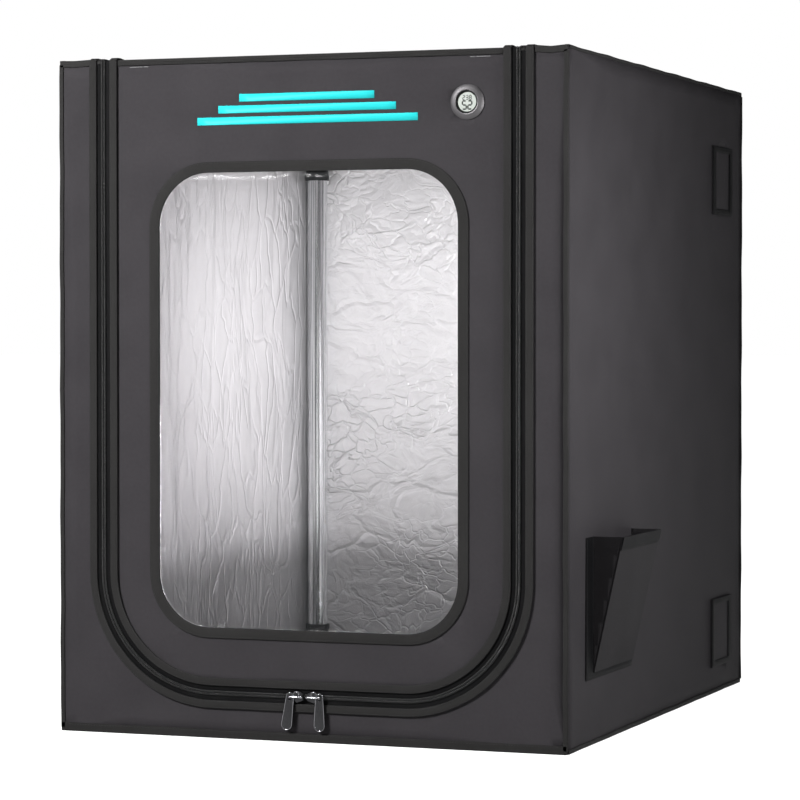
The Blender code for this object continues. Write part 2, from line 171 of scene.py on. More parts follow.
def ramp(tree, value, *stops):
    """A colour ramp over value, from (position, grey or colour) stops."""
    made = node(tree, "ShaderNodeValToRGB", {"Fac": value})
    for i, (position, colour) in enumerate(stops):
        if i < 2:
            element = made.color_ramp.elements[i]
            element.position = position
        else:
            element = made.color_ramp.elements.new(position)
        shade = (colour,) * 3 if isinstance(colour, (int, float)) else colour
        element.color = (*shade, 1)
    return made.outputs["Color"]


def material(name, **sockets):
    """A material with a Principled BSDF. Words such as Base_Color name its sockets."""
    made = bpy.data.materials.new(name)
    made.use_nodes = True
    shader = made.node_tree.nodes["Principled BSDF"]
    for key, value in sockets.items():
        if isinstance(value, tuple):
            value = (*value, 1.0)
        shader.inputs[key.replace("_", " ")].default_value = value
    return made, made.node_tree, shader


def bump(tree, shader, height, distance, strength=1.0):
    """Feeds a height into the shader's normal; distance is in metres."""
    made = node(tree, "ShaderNodeBump", {"Height": height, "Distance": distance, "Strength": strength})
    tree.links.new(made.outputs["Normal"], shader.inputs["Normal"])


def feed(tree, value, shader, socket):
    tree.links.new(value, shader.inputs[socket])


def coordinates(tree, scale=(1, 1, 1), source="Object"):
    place = node(tree, "ShaderNodeTexCoord").outputs[source]
    return node(tree, "ShaderNodeMapping", {"Vector": place, "Scale": scale}).outputs["Vector"]


def piece(name, bm, body, slot, *materials, sharp=40):
    """Turns a bmesh into a finished object that rides on a body."""
    mesh = bpy.data.meshes.new(name)
    bm.to_mesh(mesh)
    bm.free()
    mesh.shade_smooth()
    mesh.set_sharp_from_angle(angle=radians(sharp))
    for finish in materials:
        mesh.materials.append(finish)
    obj = bpy.data.objects.new(name, mesh)
    bpy.context.scene.collection.objects.link(obj)
    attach(obj, body)
    return obj


def lathe(bm, profile, start, axis, steps=48):
    """Adds a closed profile of (radius, distance), turned round an axis that begins at start."""
    turn = Vector(axis).to_track_quat("Z", "Y").to_matrix()
    rings = []
    for i in range(steps):
        spin = Matrix.Rotation(2 * pi * i / steps, 3, "Z")
        rings.append([bm.verts.new(Vector(start) + turn @ (spin @ Vector((r, 0, h)))) for r,
            h in profile])
    for ring, after in zip(rings, rings[1:] + rings[:1]):
        for j in range(len(profile)):
            k = (j + 1) % len(profile)
            bm.faces.new((ring[j], after[j], after[k], ring[k]))
    bmesh.ops.remove_doubles(bm, verts=bm.verts, dist=1e-7)
    bmesh.ops.dissolve_degenerate(bm, edges=bm.edges, dist=1e-7)
    bmesh.ops.recalc_face_normals(bm, faces=bm.faces)


STEEL, tree, shader = material("steel", Base_Color=(0.80, 0.81, 0.83), Metallic=1.0, Roughness=0.16)
drawn = node(tree, "ShaderNodeTexNoise", {"Vector": coordinates(tree, (900, 900, 6)), "Detail": 3})
feed(tree, ramp(tree, drawn.outputs["Fac"], (0.3, 0.08), (0.7, 0.20)), shader, "Roughness")
# Long light and dark streaks in the steel's colour are painted reflections and painted shade along each
# tube.
painted_reflection_streaks = node(tree, "ShaderNodeTexNoise", {"Vector": coordinates(tree, (260, 260, 0.7)), "Detail": 2})
feed(tree, ramp(tree, painted_reflection_streaks.outputs["Fac"], (0.40, (0.34, 0.35, 0.36)), (0.52, (0.95, 0.96, 0.97))),
    shader, "Base Color")
bump(tree, shader, drawn.outputs["Fac"], 0.00003)

TUBE_WALL = 0.001
TUBE_BURR = 0.0003
for name in [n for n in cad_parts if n.startswith("tube_")]:
    low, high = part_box(name)
    size = high - low
    longest = max(range(3), key=lambda i: size[i])
    radius = min(size) / 2
    start = (low + high) / 2
    start[longest] = low[longest]
    axis = [float(i == longest) for i in range(3)]
    inner, length = radius - TUBE_WALL, size[longest]
    profile = [
        (inner, TUBE_BURR), (inner + TUBE_BURR, 0), (radius - TUBE_BURR, 0), (radius, TUBE_BURR),
        (radius, length - TUBE_BURR), (radius - TUBE_BURR, length), (inner + TUBE_BURR, length),
        (inner, length - TUBE_BURR),
    ]
    bm = bmesh.new()
    lathe(bm, profile, start, axis)
    tube = piece(name.replace("tube", "steel_tube"), bm, "root", "steel", STEEL)
    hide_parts(name)


# ---------------------------------------------------------------------------------------------
# Corner connectors: eight moulded plastic corners with three sockets each. They have a rolled
# lip at each mouth and a satin, lightly grained face.

CONNECTOR, tree, shader = material("connector_plastic", Base_Color=(0.002, 0.002, 0.002), Roughness=0.3,
    Specular_IOR_Level=0.12)
grain = node(tree, "ShaderNodeTexNoise", {"Vector": coordinates(tree, (1400, 1400, 1400)), "Detail": 2})
feed(tree, ramp(tree, grain.outputs["Fac"], (0.3, 0.22), (0.7, 0.36)), shader, "Roughness")
bump(tree, shader, grain.outputs["Fac"], 0.00005)

SOCKET_GAP = 0.0004
SOCKET_DEEP = 0.018
LIP = 0.0012
CORE_R = 0.0165
for name in [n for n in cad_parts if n.startswith("connector_")]:
    low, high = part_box(name)
    outside = [low[i] if abs(low[i] - cad_box[0][i]) < abs(high[i] - cad_box[1][i]) else high[i]
        for i in range(3)]
    reach = [high[i] - low[i] for i in range(3)]
    signs = [1 if outside[i] == low[i] else -1 for i in range(3)]
    centre = Vector(outside[i] + signs[i] * 0.0165 for i in range(3))
    bm = bmesh.new()
    bmesh.ops.create_icosphere(bm, subdivisions=4, radius=CORE_R)
    bmesh.ops.translate(bm, verts=bm.verts, vec=centre)
    for i in range(3):
        axis = [0.0, 0.0, 0.0]
        axis[i] = signs[i]
        outer, hole = CORE_R - 0.0004 * (i + 1), 0.013 + SOCKET_GAP
        end = reach[i] - 0.0165
        lathe(bm, [
            (0, 0), (outer - LIP, 0), (outer - LIP, end - 6 * LIP), (outer, end - 5 * LIP),
            (outer, end - LIP / 2),
            (outer - LIP / 2, end), (hole + LIP / 4, end), (hole, end - LIP / 2), (hole, SOCKET_DEEP),
            (0, SOCKET_DEEP),
        ], centre, axis)
    connector = piece(name.replace("connector", "corner_connector"), bm, "root", "connector_plastic",
        CONNECTOR)
    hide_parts(name)


# ---------------------------------------------------------------------------------------------
# Cloth walls: coated polyester, cut to size and sewn to a box. The frame pulls it taut, so it
# only swells a little between the seams, and the weave shows as a fine grid under the coating.


def ripples(u, v, seed, amplitude, shortest, longest, count=9):
    """The soft unevenness of taut cloth: sine waves that run in seeded directions."""
    draw = np.random.default_rng(seed)
    total = np.zeros_like(u)
    for _ in range(count):
        turn, length, shift = draw.uniform(0, pi), draw.uniform(shortest, longest), draw.uniform(0,
            2 * pi)
        total += np.sin(2 * pi * (u * cos(turn) + v * sin(turn)) / length + shift)
    return amplitude * total / count**0.5


def held(u, v, half_u, half_v, middle_v=0.0):
    """One over a wall, falling to nought at the seams round it."""
    across = 1 - np.minimum(np.abs(u / half_u), 1) ** 5
    along = 1 - np.minimum(np.abs((v - middle_v) / half_v), 1) ** 5
    return across * along


HALF_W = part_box("cover_front")[1].x
HALF_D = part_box("cover_back")[1].y
FRONT = -HALF_D
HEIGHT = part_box("cover_front")[1].z


def front_relief(x, z):
    swelling = 0.0012 * np.cos(pi * x / (2 * HALF_W)) * np.sin(pi * z / HEIGHT)
    return held(x, z, HALF_W, HEIGHT / 2, HEIGHT / 2) * (swelling + ripples(x, z, 4, 0.00035, 0.10, 0.45))


def back_relief(x, z):
    swelling = 0.004 * np.cos(pi * x / (2 * HALF_W)) * np.sin(pi * z / HEIGHT)
    return held(x, z, HALF_W, HEIGHT / 2, HEIGHT / 2) * (swelling + ripples(x, z, 11, 0.0006, 0.12, 0.5))


def left_relief(y, z):
    swelling = 0.0032 * np.cos(pi * y / (2 * HALF_D)) * np.sin(pi * z / HEIGHT)
    return held(y, z, HALF_D, HEIGHT / 2, HEIGHT / 2) * (swelling + ripples(y, z, 21, 0.0006, 0.12, 0.5))


def right_relief(y, z):
    swelling = 0.0005 * np.cos(pi * y / (2 * HALF_D)) * np.sin(pi * z / HEIGHT)
    return held(y, z, HALF_D, HEIGHT / 2, HEIGHT / 2) * (swelling + ripples(y, z, 35, 0.0003, 0.15, 0.5))


def roof_relief(x, y):
    return held(x, y, HALF_W, HALF_D) * (ripples(x, y, 41, 0.0007, 0.12, 0.5) - 0.0025)


def no_relief(u, v):
    return np.zeros_like(u)


def lift(bm, axis, sign, relief):
    """Moves each vertex out of its wall, along an axis, by the relief at its place."""
    across, along = [i for i in range(3) if i != axis]
    points = np.array([v.co for v in bm.verts])
    for vertex, rise in zip(bm.verts, relief(points[:, across], points[:, along])):
        vertex.co[axis] += sign * rise


def lay_uv(bm, axis):
    """UVs in metres, straight from the two coordinates along a wall."""
    across, along = [i for i in range(3) if i != axis]
    layer = bm.loops.layers.uv.verify()
    for face in bm.faces:
        for loop in face.loops:
            loop[layer].uv = (loop.vert.co[across], loop.vert.co[along])


def cut_wall(node_name, axis, spacing=0.02):
    """A CAD wall's closed plate, with its openings, cut into a grid so that it can bend."""
    bm = bmesh.new()
    bm.from_mesh(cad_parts[node_name].data)
    bmesh.ops.remove_doubles(bm, verts=bm.verts, dist=1e-6)
    low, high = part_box(node_name)
    for i in range(3):
        cuts = 0 if i == axis else int((high[i] - low[i]) / spacing)
        normal = [float(j == i) for j in range(3)]
        for step in range(1, cuts + 1):
            place = low.lerp(high, step / (cuts + 1))
            everything = [*bm.verts, *bm.edges, *bm.faces]
            bmesh.ops.bisect_plane(bm, geom=everything, dist=1e-7, plane_co=place, plane_no=normal)
    return bm


def plain_wall(low, high, axis, spacing=0.012):
    """A closed rectangular plate with a fine grid on both faces."""
    across, along = [i for i in range(3) if i != axis]
    bm = bmesh.new()
    columns, rows = (round((high[i] - low[i]) / spacing) for i in (across, along))
    bmesh.ops.create_grid(bm, x_segments=columns, y_segments=rows, size=0.5)
    for vertex in bm.verts:
        u, v = vertex.co.x + 0.5, vertex.co.y + 0.5
        vertex.co[across] = low[across] + u * (high[across] - low[across])
        vertex.co[along] = low[along] + v * (high[along] - low[along])
        vertex.co[axis] = low[axis]
    grown = bmesh.ops.extrude_face_region(bm, geom=bm.faces[:])
    for vertex in grown["geom"]:
        if isinstance(vertex, bmesh.types.BMVert):
            vertex.co[axis] = high[axis]
    bmesh.ops.recalc_face_normals(bm, faces=bm.faces)
    return bm


weave = bpy.data.node_groups.new("plain_weave", "ShaderNodeTree")
weave.interface.new_socket("Vector", in_out="INPUT", socket_type="NodeSocketVector")
weave.interface.new_socket("Thread", in_out="INPUT", socket_type="NodeSocketFloat")
weave.interface.new_socket("Height", in_out="OUTPUT", socket_type="NodeSocketFloat")
weave.interface.new_socket("Tone", in_out="OUTPUT", socket_type="NodeSocketFloat")
inlet = node(weave, "NodeGroupInput")
turns = sum_up(weave, "DIVIDE", pi, inlet.outputs["Thread"])
phases = node(weave, "ShaderNodeVectorMath", {0: inlet.outputs["Vector"], "Scale": turns},
    operation="SCALE")
parts = node(weave, "ShaderNodeSeparateXYZ", {0: phases.outputs[0]})
warp = sum_up(weave, "SINE", parts.outputs[0])
weft = sum_up(weave, "SINE", parts.outputs[1])
crossing = sum_up(weave, "GREATER_THAN", sum_up(weave, "MULTIPLY", warp, weft), 0.0)
warp_up = sum_up(weave, "MULTIPLY", sum_up(weave, "ABSOLUTE", warp), crossing)
weft_up = sum_up(weave, "MULTIPLY", sum_up(weave, "ABSOLUTE", weft),
    sum_up(weave, "SUBTRACT", 1.0, crossing))
woven = sum_up(weave, "ADD", warp_up, weft_up)
slubs = node(weave, "ShaderNodeTexNoise", {"Vector": inlet.outputs["Vector"], "Scale": 260, "Detail": 4,
    "Roughness": 0.65})
clouds = node(weave, "ShaderNodeTexNoise", {"Vector": inlet.outputs["Vector"], "Scale": 14, "Detail": 3})
mottle = sum_up(weave, "ADD", sum_up(weave, "MULTIPLY", slubs.outputs["Fac"], 0.5),
    sum_up(weave, "MULTIPLY", clouds.outputs["Fac"], 0.5))
node(weave, "NodeGroupOutput", {
    "Height": sum_up(weave, "ADD",
        sum_up(weave, "MULTIPLY", woven, 0.6), sum_up(weave, "MULTIPLY", slubs.outputs["Fac"], 0.4)),
    "Tone": mottle,
})


def cloth(name, dark, light, thread, roughness, depth=0.00012, sheen=0.0):
    """A woven finish on the piece's own UVs, mottled between two colours."""
    made, tree, shader = material(name, Roughness=roughness, Specular_IOR_Level=0.02, Sheen_Weight=sheen,
        Sheen_Roughness=0.5)
    woven = node(tree, "ShaderNodeGroup", node_tree=weave)
    tree.links.new(node(tree, "ShaderNodeTexCoord").outputs["UV"], woven.inputs["Vector"])
    woven.inputs["Thread"].default_value = thread
    feed(tree, ramp(tree, woven.outputs["Tone"], (0.36, dark), (0.64, light)), shader, "Base Color")
    feed(tree, ramp(tree, woven.outputs["Height"], (0.0, roughness + 0.1), (0.9, roughness - 0.08)),
        shader, "Roughness")
    bump(tree, shader, woven.outputs["Height"], depth)
    return made


CLOTH = cloth("cloth_black", (0.0112, 0.0104, 0.0114), (0.0142, 0.0132, 0.0144), 0.0006, 0.62)
# A darker copy of the same wall cloth, for the pocket's panel and sides: painted shade.
CLOTH_PAINTED_SHADE = cloth("cloth_black_painted_shade", (0.0066, 0.0062, 0.0067), (0.0084, 0.0079, 0.0085), 0.0006, 0.62)


def sewn_wall(name, node_name, axis, sign, relief, cut=False, body="root"):
    low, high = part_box(node_name)
    bm = cut_wall(node_name, axis) if cut else plain_wall(low, high, axis)
    lay_uv(bm, axis)
    lift(bm, axis, sign, relief)
    wall = piece(name, bm, body, "cloth_black", CLOTH, sharp=60)
    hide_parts(node_name)
    return wall


X, Y, Z = 0, 1, 2
front_cloth = sewn_wall("front_cloth", "cover_front", Y, -1, front_relief, cut=True)
door_cloth = sewn_wall("door_cloth", "door_panel", Y, -1, front_relief, cut=True, body="door")
back_cloth = sewn_wall("back_cloth", "cover_back", Y, 1, back_relief)
left_cloth = sewn_wall("left_cloth", "cover_left", X, -1, left_relief)
right_cloth = sewn_wall("right_cloth", "cover_right", X, 1, right_relief, cut=True)
roof_cloth = sewn_wall("roof_cloth", "cover_roof", Z, 1, roof_relief)


# ---------------------------------------------------------------------------------------------
# Foil lining: aluminised film glued to the inside of each wall, which throws the light back at
# the printer. It is crushed into small facets, and hangs in upright creases on the left wall.
# The floor's lining is a dark coated tray instead.


def creases(u, v, seed, amplitude, shortest, longest, upright=False, count=12):
    """Crushed foil: sharp folds along seeded lines, each a little bent."""
    draw = np.random.default_rng(seed)
    total = np.zeros_like(u)
    for _ in range(count):
        turn = draw.uniform(-0.3, 0.3) if upright else draw.uniform(0, pi)
        length, shift = draw.uniform(shortest, longest), draw.uniform(0, 1)
        bend = 0.25 * np.sin(v / draw.uniform(0.03, 0.12) + draw.uniform(0, 6)) + 0.25 * np.sin(
            u / draw.uniform(0.03, 0.12))
        run = (u * cos(turn) + v * sin(turn)) / length + shift + bend
        total += np.abs(2 * (run % 1) - 1)
    return amplitude * (total - count / 2) / count**0.5


def foil(name, upright):
    """Aluminised film: smooth metal with sparse sharp crinkles and, if upright, long soft drapes."""
    made, tree, shader = material(name, Metallic=0.85, Roughness=0.36)
    place = coordinates(tree, (12, 12, 4.5) if upright else (16, 16, 22))
    bent = node(tree, "ShaderNodeTexNoise", {"Vector": place, "Scale": 1.1, "Detail": 3,
        "Distortion": 0.8})
    moved = node(tree, "ShaderNodeVectorMath", {0: place, 1: bent.outputs["Color"]}, operation="ADD")
    facets = node(tree, "ShaderNodeTexVoronoi", {"Vector": moved.outputs[0], "Scale": 0.9},
        feature="DISTANCE_TO_EDGE")
    small = node(tree, "ShaderNodeTexVoronoi", {"Vector": moved.outputs[0], "Scale": 2.6},
        feature="DISTANCE_TO_EDGE")
    patches = node(tree, "ShaderNodeTexNoise", {"Vector": place, "Scale": 0.35, "Detail": 2})
    where = node(tree, "ShaderNodeMapRange", {"Value": patches.outputs["Fac"], "From Min": 0.42,
        "From Max": 0.62}).outputs["Result"]
    fine = node(tree, "ShaderNodeTexNoise", {"Vector": moved.outputs[0], "Scale": 4, "Detail": 5,
        "Roughness": 0.55})
    folds = sum_up(tree, "MINIMUM", facets.outputs["Distance"], 0.10)
    little = sum_up(tree, "MULTIPLY", sum_up(tree, "MINIMUM", small.outputs["Distance"], 0.08),
        sum_up(tree, "ADD", where, 0.9 if upright else 0.15))
    drapes = sum_up(tree, "MULTIPLY", bent.outputs["Fac"], 0.45)
    height = sum_up(tree, "ADD", sum_up(tree, "ADD", folds, little),
        sum_up(tree, "ADD", drapes, sum_up(tree, "MULTIPLY", fine.outputs["Fac"],
        0.02 if upright else 0.05)))
    # The foil's colour is darkened towards the floor and towards the roof, by height: painted shade.
    height_up = node(tree, "ShaderNodeSeparateXYZ", {0: coordinates(tree)}).outputs[2]
    painted_shade_by_height = ramp(tree, sum_up(tree, "ADD", height_up, sum_up(tree, "MULTIPLY", fine.outputs["Fac"], 0.02)),
        (0.145, 0.52), (0.165, 0.70), (0.19, 0.93), (0.23, 1.0), (0.56, 1.0), (0.60, 0.95), (0.645, 0.82))
    low_shine = (0.80, 0.785, 0.80) if upright else (0.88, 0.865, 0.88)
    high_shine = (0.88, 0.865, 0.88) if upright else (0.95, 0.935, 0.95)
    bright = ramp(tree, fine.outputs["Fac"], (0.3, low_shine), (0.7, high_shine))
    tinted = node(tree, "ShaderNodeMix", {0: 1.0, 6: bright, 7: painted_shade_by_height}, data_type="RGBA",
        blend_type="MULTIPLY")
    feed(tree, tinted.outputs[2], shader, "Base Color")
    feed(tree, ramp(tree, fine.outputs["Fac"], (0.3, 0.30), (0.7, 0.42)), shader, "Roughness")
    bump(tree, shader, height, 0.006 if upright else 0.008)
    return made


FOIL = foil("foil_crushed", upright=False)
FOIL_HUNG = foil("foil_hung", upright=True)
TRAY = cloth("floor_tray", (0.012, 0.012, 0.012), (0.020, 0.020, 0.020), 0.0009, 0.55)
FOIL_THICK = 0.0003
FOIL_GAP = 0.0005


def lining(name, node_name, axis, sign, relief, finish, seed, depth, cut=False, body="root",
        upright=False):
    """A sheet of foil behind a wall, swollen with it and creased."""
    low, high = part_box(node_name)
    across, along = [i for i in range(3) if i != axis]
    inner = low[axis] if sign > 0 else high[axis]
    near, far = sorted((inner - sign * FOIL_GAP, inner - sign * (FOIL_GAP + FOIL_THICK)))
    if cut:
        bm = cut_wall(node_name, axis)
        middle = (low[axis] + high[axis]) / 2
        for vertex in bm.verts:
            vertex.co[axis] = far if vertex.co[axis] > middle else near
    else:
        inset_low, inset_high = Vector(low), Vector(high)
        for i in (across, along):
            inset_low[i] += 0.002
            inset_high[i] -= 0.002
        inset_low[axis], inset_high[axis] = near, far
        bm = plain_wall(inset_low, inset_high, axis, 0.006)
    lay_uv(bm, axis)
    lift(bm, axis, sign, relief)
    lift(bm, axis, -sign, lambda u, v: depth + creases(u, v, seed, depth * 0.4, 0.07, 0.24, upright))
    sheet = piece(name, bm, body, "foil", finish, sharp=60)
    return sheet


lining("back_foil", "cover_back", Y, 1, back_relief, FOIL, 5, 0.0012)
lining("left_foil", "cover_left", X, -1, left_relief, FOIL_HUNG, 6, 0.0012, upright=True)
lining("right_foil", "cover_right", X, 1, right_relief, FOIL, 7, 0.0003, cut=True)
lining("roof_foil", "cover_roof", Z, 1, roof_relief, FOIL, 8, 0.0008)
lining("front_foil", "cover_front", Y, -1, front_relief, FOIL, 9, 0.0002, cut=True)
lining("door_foil", "door_panel", Y, -1, front_relief, FOIL, 10, 0.0, cut=True, body="door")
floor_sheet_low, floor_sheet_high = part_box("cover_floor")
bm = plain_wall(floor_sheet_low, floor_sheet_high, Z, 0.01)
lay_uv(bm, Z)
floor_foil = piece("floor_foil", bm, "root", "foil", TRAY, sharp=60)
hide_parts("cover_floor")


# ---------------------------------------------------------------------------------------------
# Door zip: a reversed coil zip, sewn between two folded cloth bindings that nearly hide it. It
# runs down the left, round two quarter circles and up the right. Each side has its own half.


def zip_at(distance):
    """The point and the outward normal at a distance along the zip, from its top left end."""
    mirror = 1 if distance <= ZIP_LONG / 2 else -1
    d = min(distance, ZIP_LONG - distance)
    corner_x, corner_z = ZIP_R - ZIP_HALF, ZIP_LOW + ZIP_R
    if d < ZIP_RUN:
        point, out = (-ZIP_HALF, HEIGHT - d), (-1.0, 0.0)
    elif d < ZIP_RUN + ZIP_QUARTER:
        turn = (d - ZIP_RUN) / ZIP_R
        out = (-cos(turn), -sin(turn))
        point = (corner_x + ZIP_R * out[0], corner_z + ZIP_R * out[1])
    else:
        point, out = (corner_x + d - ZIP_RUN - ZIP_QUARTER, ZIP_LOW), (0.0, -1.0)
    return (mirror * point[0], point[1]), (mirror * out[0], out[1])


def stations(at, length, step=0.005):
    count = round(length / step)
    return [at(length * i / count) for i in range(count + 1)]


def band(near, far, back, front, edge=0.0004):
    """The section of a flat strip with round edges: (offset outwards, depth in front of the wall)."""
    corners = ((near + edge, back + edge, 180), (far - edge, back + edge, 270),
        (far - edge, front - edge, 0), (near + edge, front - edge, 90))
    turns = [(u, v, radians(start + 30 * i)) for u, v, start in corners for i in range(4)]
    return [(u + edge * cos(a), v + edge * sin(a)) for u, v, a in turns]


def sweep(bm, line, section, closed=False):
    """Carries a closed section along points on the front wall, with UVs in metres along and across."""
    layer = bm.loops.layers.uv.verify()
    rings = [[bm.verts.new((x + nx * o, FRONT - d, z + nz * o)) for o, d in section] for (x, z),
        (nx, nz) in line]
    run = [0.0]
    for (a, _), (b, _) in zip(line, line[1:] + line[:1]):
        run.append(run[-1] + ((a[0] - b[0]) ** 2 + (a[1] - b[1]) ** 2) ** 0.5)
    round_run = [0.0]
    for a, b in zip(section, section[1:] + section[:1]):
        round_run.append(round_run[-1] + ((a[0] - b[0]) ** 2 + (a[1] - b[1]) ** 2) ** 0.5)
    count = len(section)
    for i in range(len(rings) - (0 if closed else 1)):
        after = rings[(i + 1) % len(rings)]
        for j in range(count):
            k = (j + 1) % count
            face = bm.faces.new((rings[i][j], after[j], after[k], rings[i][k]))
            for loop, (a, b) in zip(face.loops, ((i, j), (i + 1, j), (i + 1, j + 1), (i, j + 1))):
                loop[layer].uv = (run[a], round_run[b])
    if not closed:
        bm.faces.new(rings[0])
        bm.faces.new(rings[-1])
    bmesh.ops.recalc_face_normals(bm, faces=bm.faces)


def strip(name, line, section, body, slot, finish, replaced=(), closed=False, wander=0.0):
    """A strip on the front wall that follows its relief, and wanders a little like sewn cloth."""
    bm = bmesh.new()
    sweep(bm, line, section, closed)
    if wander:
        lift(bm, Y, -1, lambda x, z: ripples(x, z, 71, wander, 0.02, 0.09))
    lift(bm, Y, -1, front_relief)
    made = piece(name, bm, body, slot, finish, sharp=50)
    if replaced:
        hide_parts(*replaced)
    return made


COIL_FAR = 0.0027
coil_low, coil_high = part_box("zip_coil_frame")
ZIP_HALF = coil_high.x - COIL_FAR
ZIP_LOW = coil_low.z + COIL_FAR
ZIP_R = 0.125
ZIP_RUN = HEIGHT - ZIP_LOW - ZIP_R
ZIP_QUARTER = pi * ZIP_R / 2
ZIP_LONG = 2 * (ZIP_RUN + ZIP_QUARTER + ZIP_HALF - ZIP_R)
zip_line = stations(zip_at, ZIP_LONG)

BINDING = cloth("binding_black", (0.0070, 0.0068, 0.0067), (0.0088, 0.0086, 0.0085), 0.00045, 0.58)
TAPE = cloth("zip_black", (0.0012, 0.0012, 0.0013), (0.0022, 0.0022, 0.0023), 0.0008, 0.5, depth=0.0002,
    sheen=0.0)

strip("zip_tape_outer", zip_line, band(0.0005, 0.0145, 0.0003, 0.0009, 0.0002), "root", "zip_black", TAPE,
    ["zip_tape_frame"])
strip("zip_tape_inner", zip_line, band(-0.0145, -0.0005, 0.0003, 0.0009, 0.0002), "door", "zip_black",
    TAPE, ["zip_tape_door"])
strip("zip_binding_outer", zip_line, band(0.0078, 0.0162, 0.0010, 0.0030), "root", "binding_black",
    BINDING, ["zip_binding_frame"], wander=0.00012)
strip("zip_binding_inner", zip_line, band(-0.0162, -0.0078, 0.0010, 0.0030), "door", "binding_black",
    BINDING, ["zip_binding_door"], wander=0.00012)

NYLON, tree, shader = material("zip_nylon", Base_Color=(0.006, 0.006, 0.006), Roughness=0.42,
    Specular_IOR_Level=0.15)
worn = node(tree, "ShaderNodeTexNoise", {"Vector": coordinates(tree, (500, 500, 500)), "Detail": 2})
feed(tree, ramp(tree, worn.outputs["Fac"], (0.3, (0.0042, 0.0042, 0.0042)),
    (0.7, (0.0105, 0.0105, 0.0105))), shader, "Base Color")
bump(tree, shader, worn.outputs["Fac"], 0.00005)

along_tree = bpy.data.node_groups.new("repeat_along_a_line", "GeometryNodeTree")
for label, kind in (
    ("Line", "NodeSocketGeometry"), ("Spacing", "NodeSocketFloat"), ("Size", "NodeSocketVector"),
    ("Material", "NodeSocketMaterial"),
):
    along_tree.interface.new_socket(label, in_out="INPUT", socket_type=kind)
along_tree.interface.new_socket("Row", in_out="OUTPUT", socket_type="NodeSocketGeometry")
inlet = node(along_tree, "NodeGroupInput")
curve = node(along_tree, "GeometryNodeMeshToCurve", {"Mesh": inlet.outputs["Line"]})
spaced = node(along_tree, "GeometryNodeResampleCurve",
    {"Curve": curve.outputs[0], "Length": inlet.outputs["Spacing"]}, mode="LENGTH")
turned_along = node(along_tree, "FunctionNodeAlignRotationToVector",
    {"Vector": node(along_tree, "GeometryNodeInputTangent").outputs[0]}, axis="X")
bead = node(along_tree, "GeometryNodeMeshUVSphere", {"Segments": 7, "Rings": 5, "Radius": 0.5})
copies = node(along_tree, "GeometryNodeInstanceOnPoints", {
    "Points": spaced.outputs[0], "Instance": bead.outputs[0], "Rotation": turned_along.outputs[0],
    "Scale": inlet.outputs["Size"],
})
real = node(along_tree, "GeometryNodeRealizeInstances", {0: copies.outputs[0]})
painted = node(along_tree, "GeometryNodeSetMaterial",
    {"Geometry": real.outputs[0], "Material": inlet.outputs["Material"]})
node(along_tree, "NodeGroupOutput", {"Row": painted.outputs[0]})


def row(name, lines, spacing, size, body, finish, relief=None, axis=Y, sign=-1):
    """Small shapes, sized (along, out, across), repeated along polylines of points; a seam's stitches."""
    bm = bmesh.new()
    for line in lines:
        points = [bm.verts.new(p) for p in line]
        for pair in zip(points, points[1:]):
            bm.edges.new(pair)
    if relief:
        lift(bm, axis, sign, relief)
    mesh = bpy.data.meshes.new(name)
    bm.to_mesh(mesh)
    bm.free()
    obj = bpy.data.objects.new(name, mesh)
    bpy.context.scene.collection.objects.link(obj)
    modifier = obj.modifiers.new("row", "NODES")
    modifier.node_group = along_tree
    values = {"Spacing": spacing, "Size": size, "Material": finish}
    for socket in along_tree.interface.items_tree:
        if socket.in_out == "INPUT" and socket.name in values:
            modifier[socket.identifier] = values[socket.name]
    bpy.context.view_layer.update()
    solid = bpy.data.meshes.new_from_object(obj.evaluated_get(bpy.context.evaluated_depsgraph_get()))
    obj.modifiers.clear()
    obj.data = solid
    solid.shade_smooth()
    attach(obj, body)
    return obj


def beside(line, offset, depth):
    """The points of a line of stations, moved outwards and in front of the wall."""
    return [(x + nx * offset, FRONT - depth, z + nz * offset) for (x, z), (nx, nz) in line]


outer_coil = row("zip_coil_outer", [beside(zip_line, 0.0014, 0.0019)], 0.0014, (0.0012, 0.0016, 0.0028),
    "root", NYLON, front_relief)
inner_coil = row("zip_coil_inner", [beside(zip_line, -0.0014, 0.0019)], 0.0014, (0.0012, 0.0016, 0.0028),
    "door", NYLON, front_relief)
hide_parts("zip_coil_frame")
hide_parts("zip_coil_door")

THREAD, tree, shader = material("thread_black", Base_Color=(0.007, 0.007, 0.007), Roughness=0.6,
    Specular_IOR_Level=0.1)
twist = node(tree, "ShaderNodeTexNoise", {"Vector": coordinates(tree, (2500, 2500, 2500)), "Detail": 1})
feed(tree, ramp(tree, twist.outputs["Fac"], (0.3, (0.0050, 0.0050, 0.0052)),
    (0.7, (0.0100, 0.0100, 0.0102))), shader, "Base Color")
bump(tree, shader, twist.outputs["Fac"], 0.00005)
STITCH = (0.0026, 0.00045, 0.00045)
STITCH_PITCH = 0.0032
row("zip_stitches_outer", [beside(zip_line, 0.0088, 0.0030), beside(zip_line, 0.0153, 0.0030)],
    STITCH_PITCH, STITCH, "root", THREAD, front_relief)
row("zip_stitches_inner", [beside(zip_line, -0.0088, 0.0030), beside(zip_line, -0.0153, 0.0030)],
    STITCH_PITCH, STITCH, "door", THREAD, front_relief)


# ---------------------------------------------------------------------------------------------
# Window: a pane of clear film, lapped behind the door cloth and sewn under a flat border of
# binding with round corners. The film is supple, so it is not quite flat and has a soft shine.

WINDOW_R = 0.057
BORDER_WIDE = 0.011
border_low, border_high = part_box("window_border")
WINDOW_HALF = border_high.x - BORDER_WIDE
WINDOW_LOW, WINDOW_HIGH = border_low.z + BORDER_WIDE, border_high.z - BORDER_WIDE


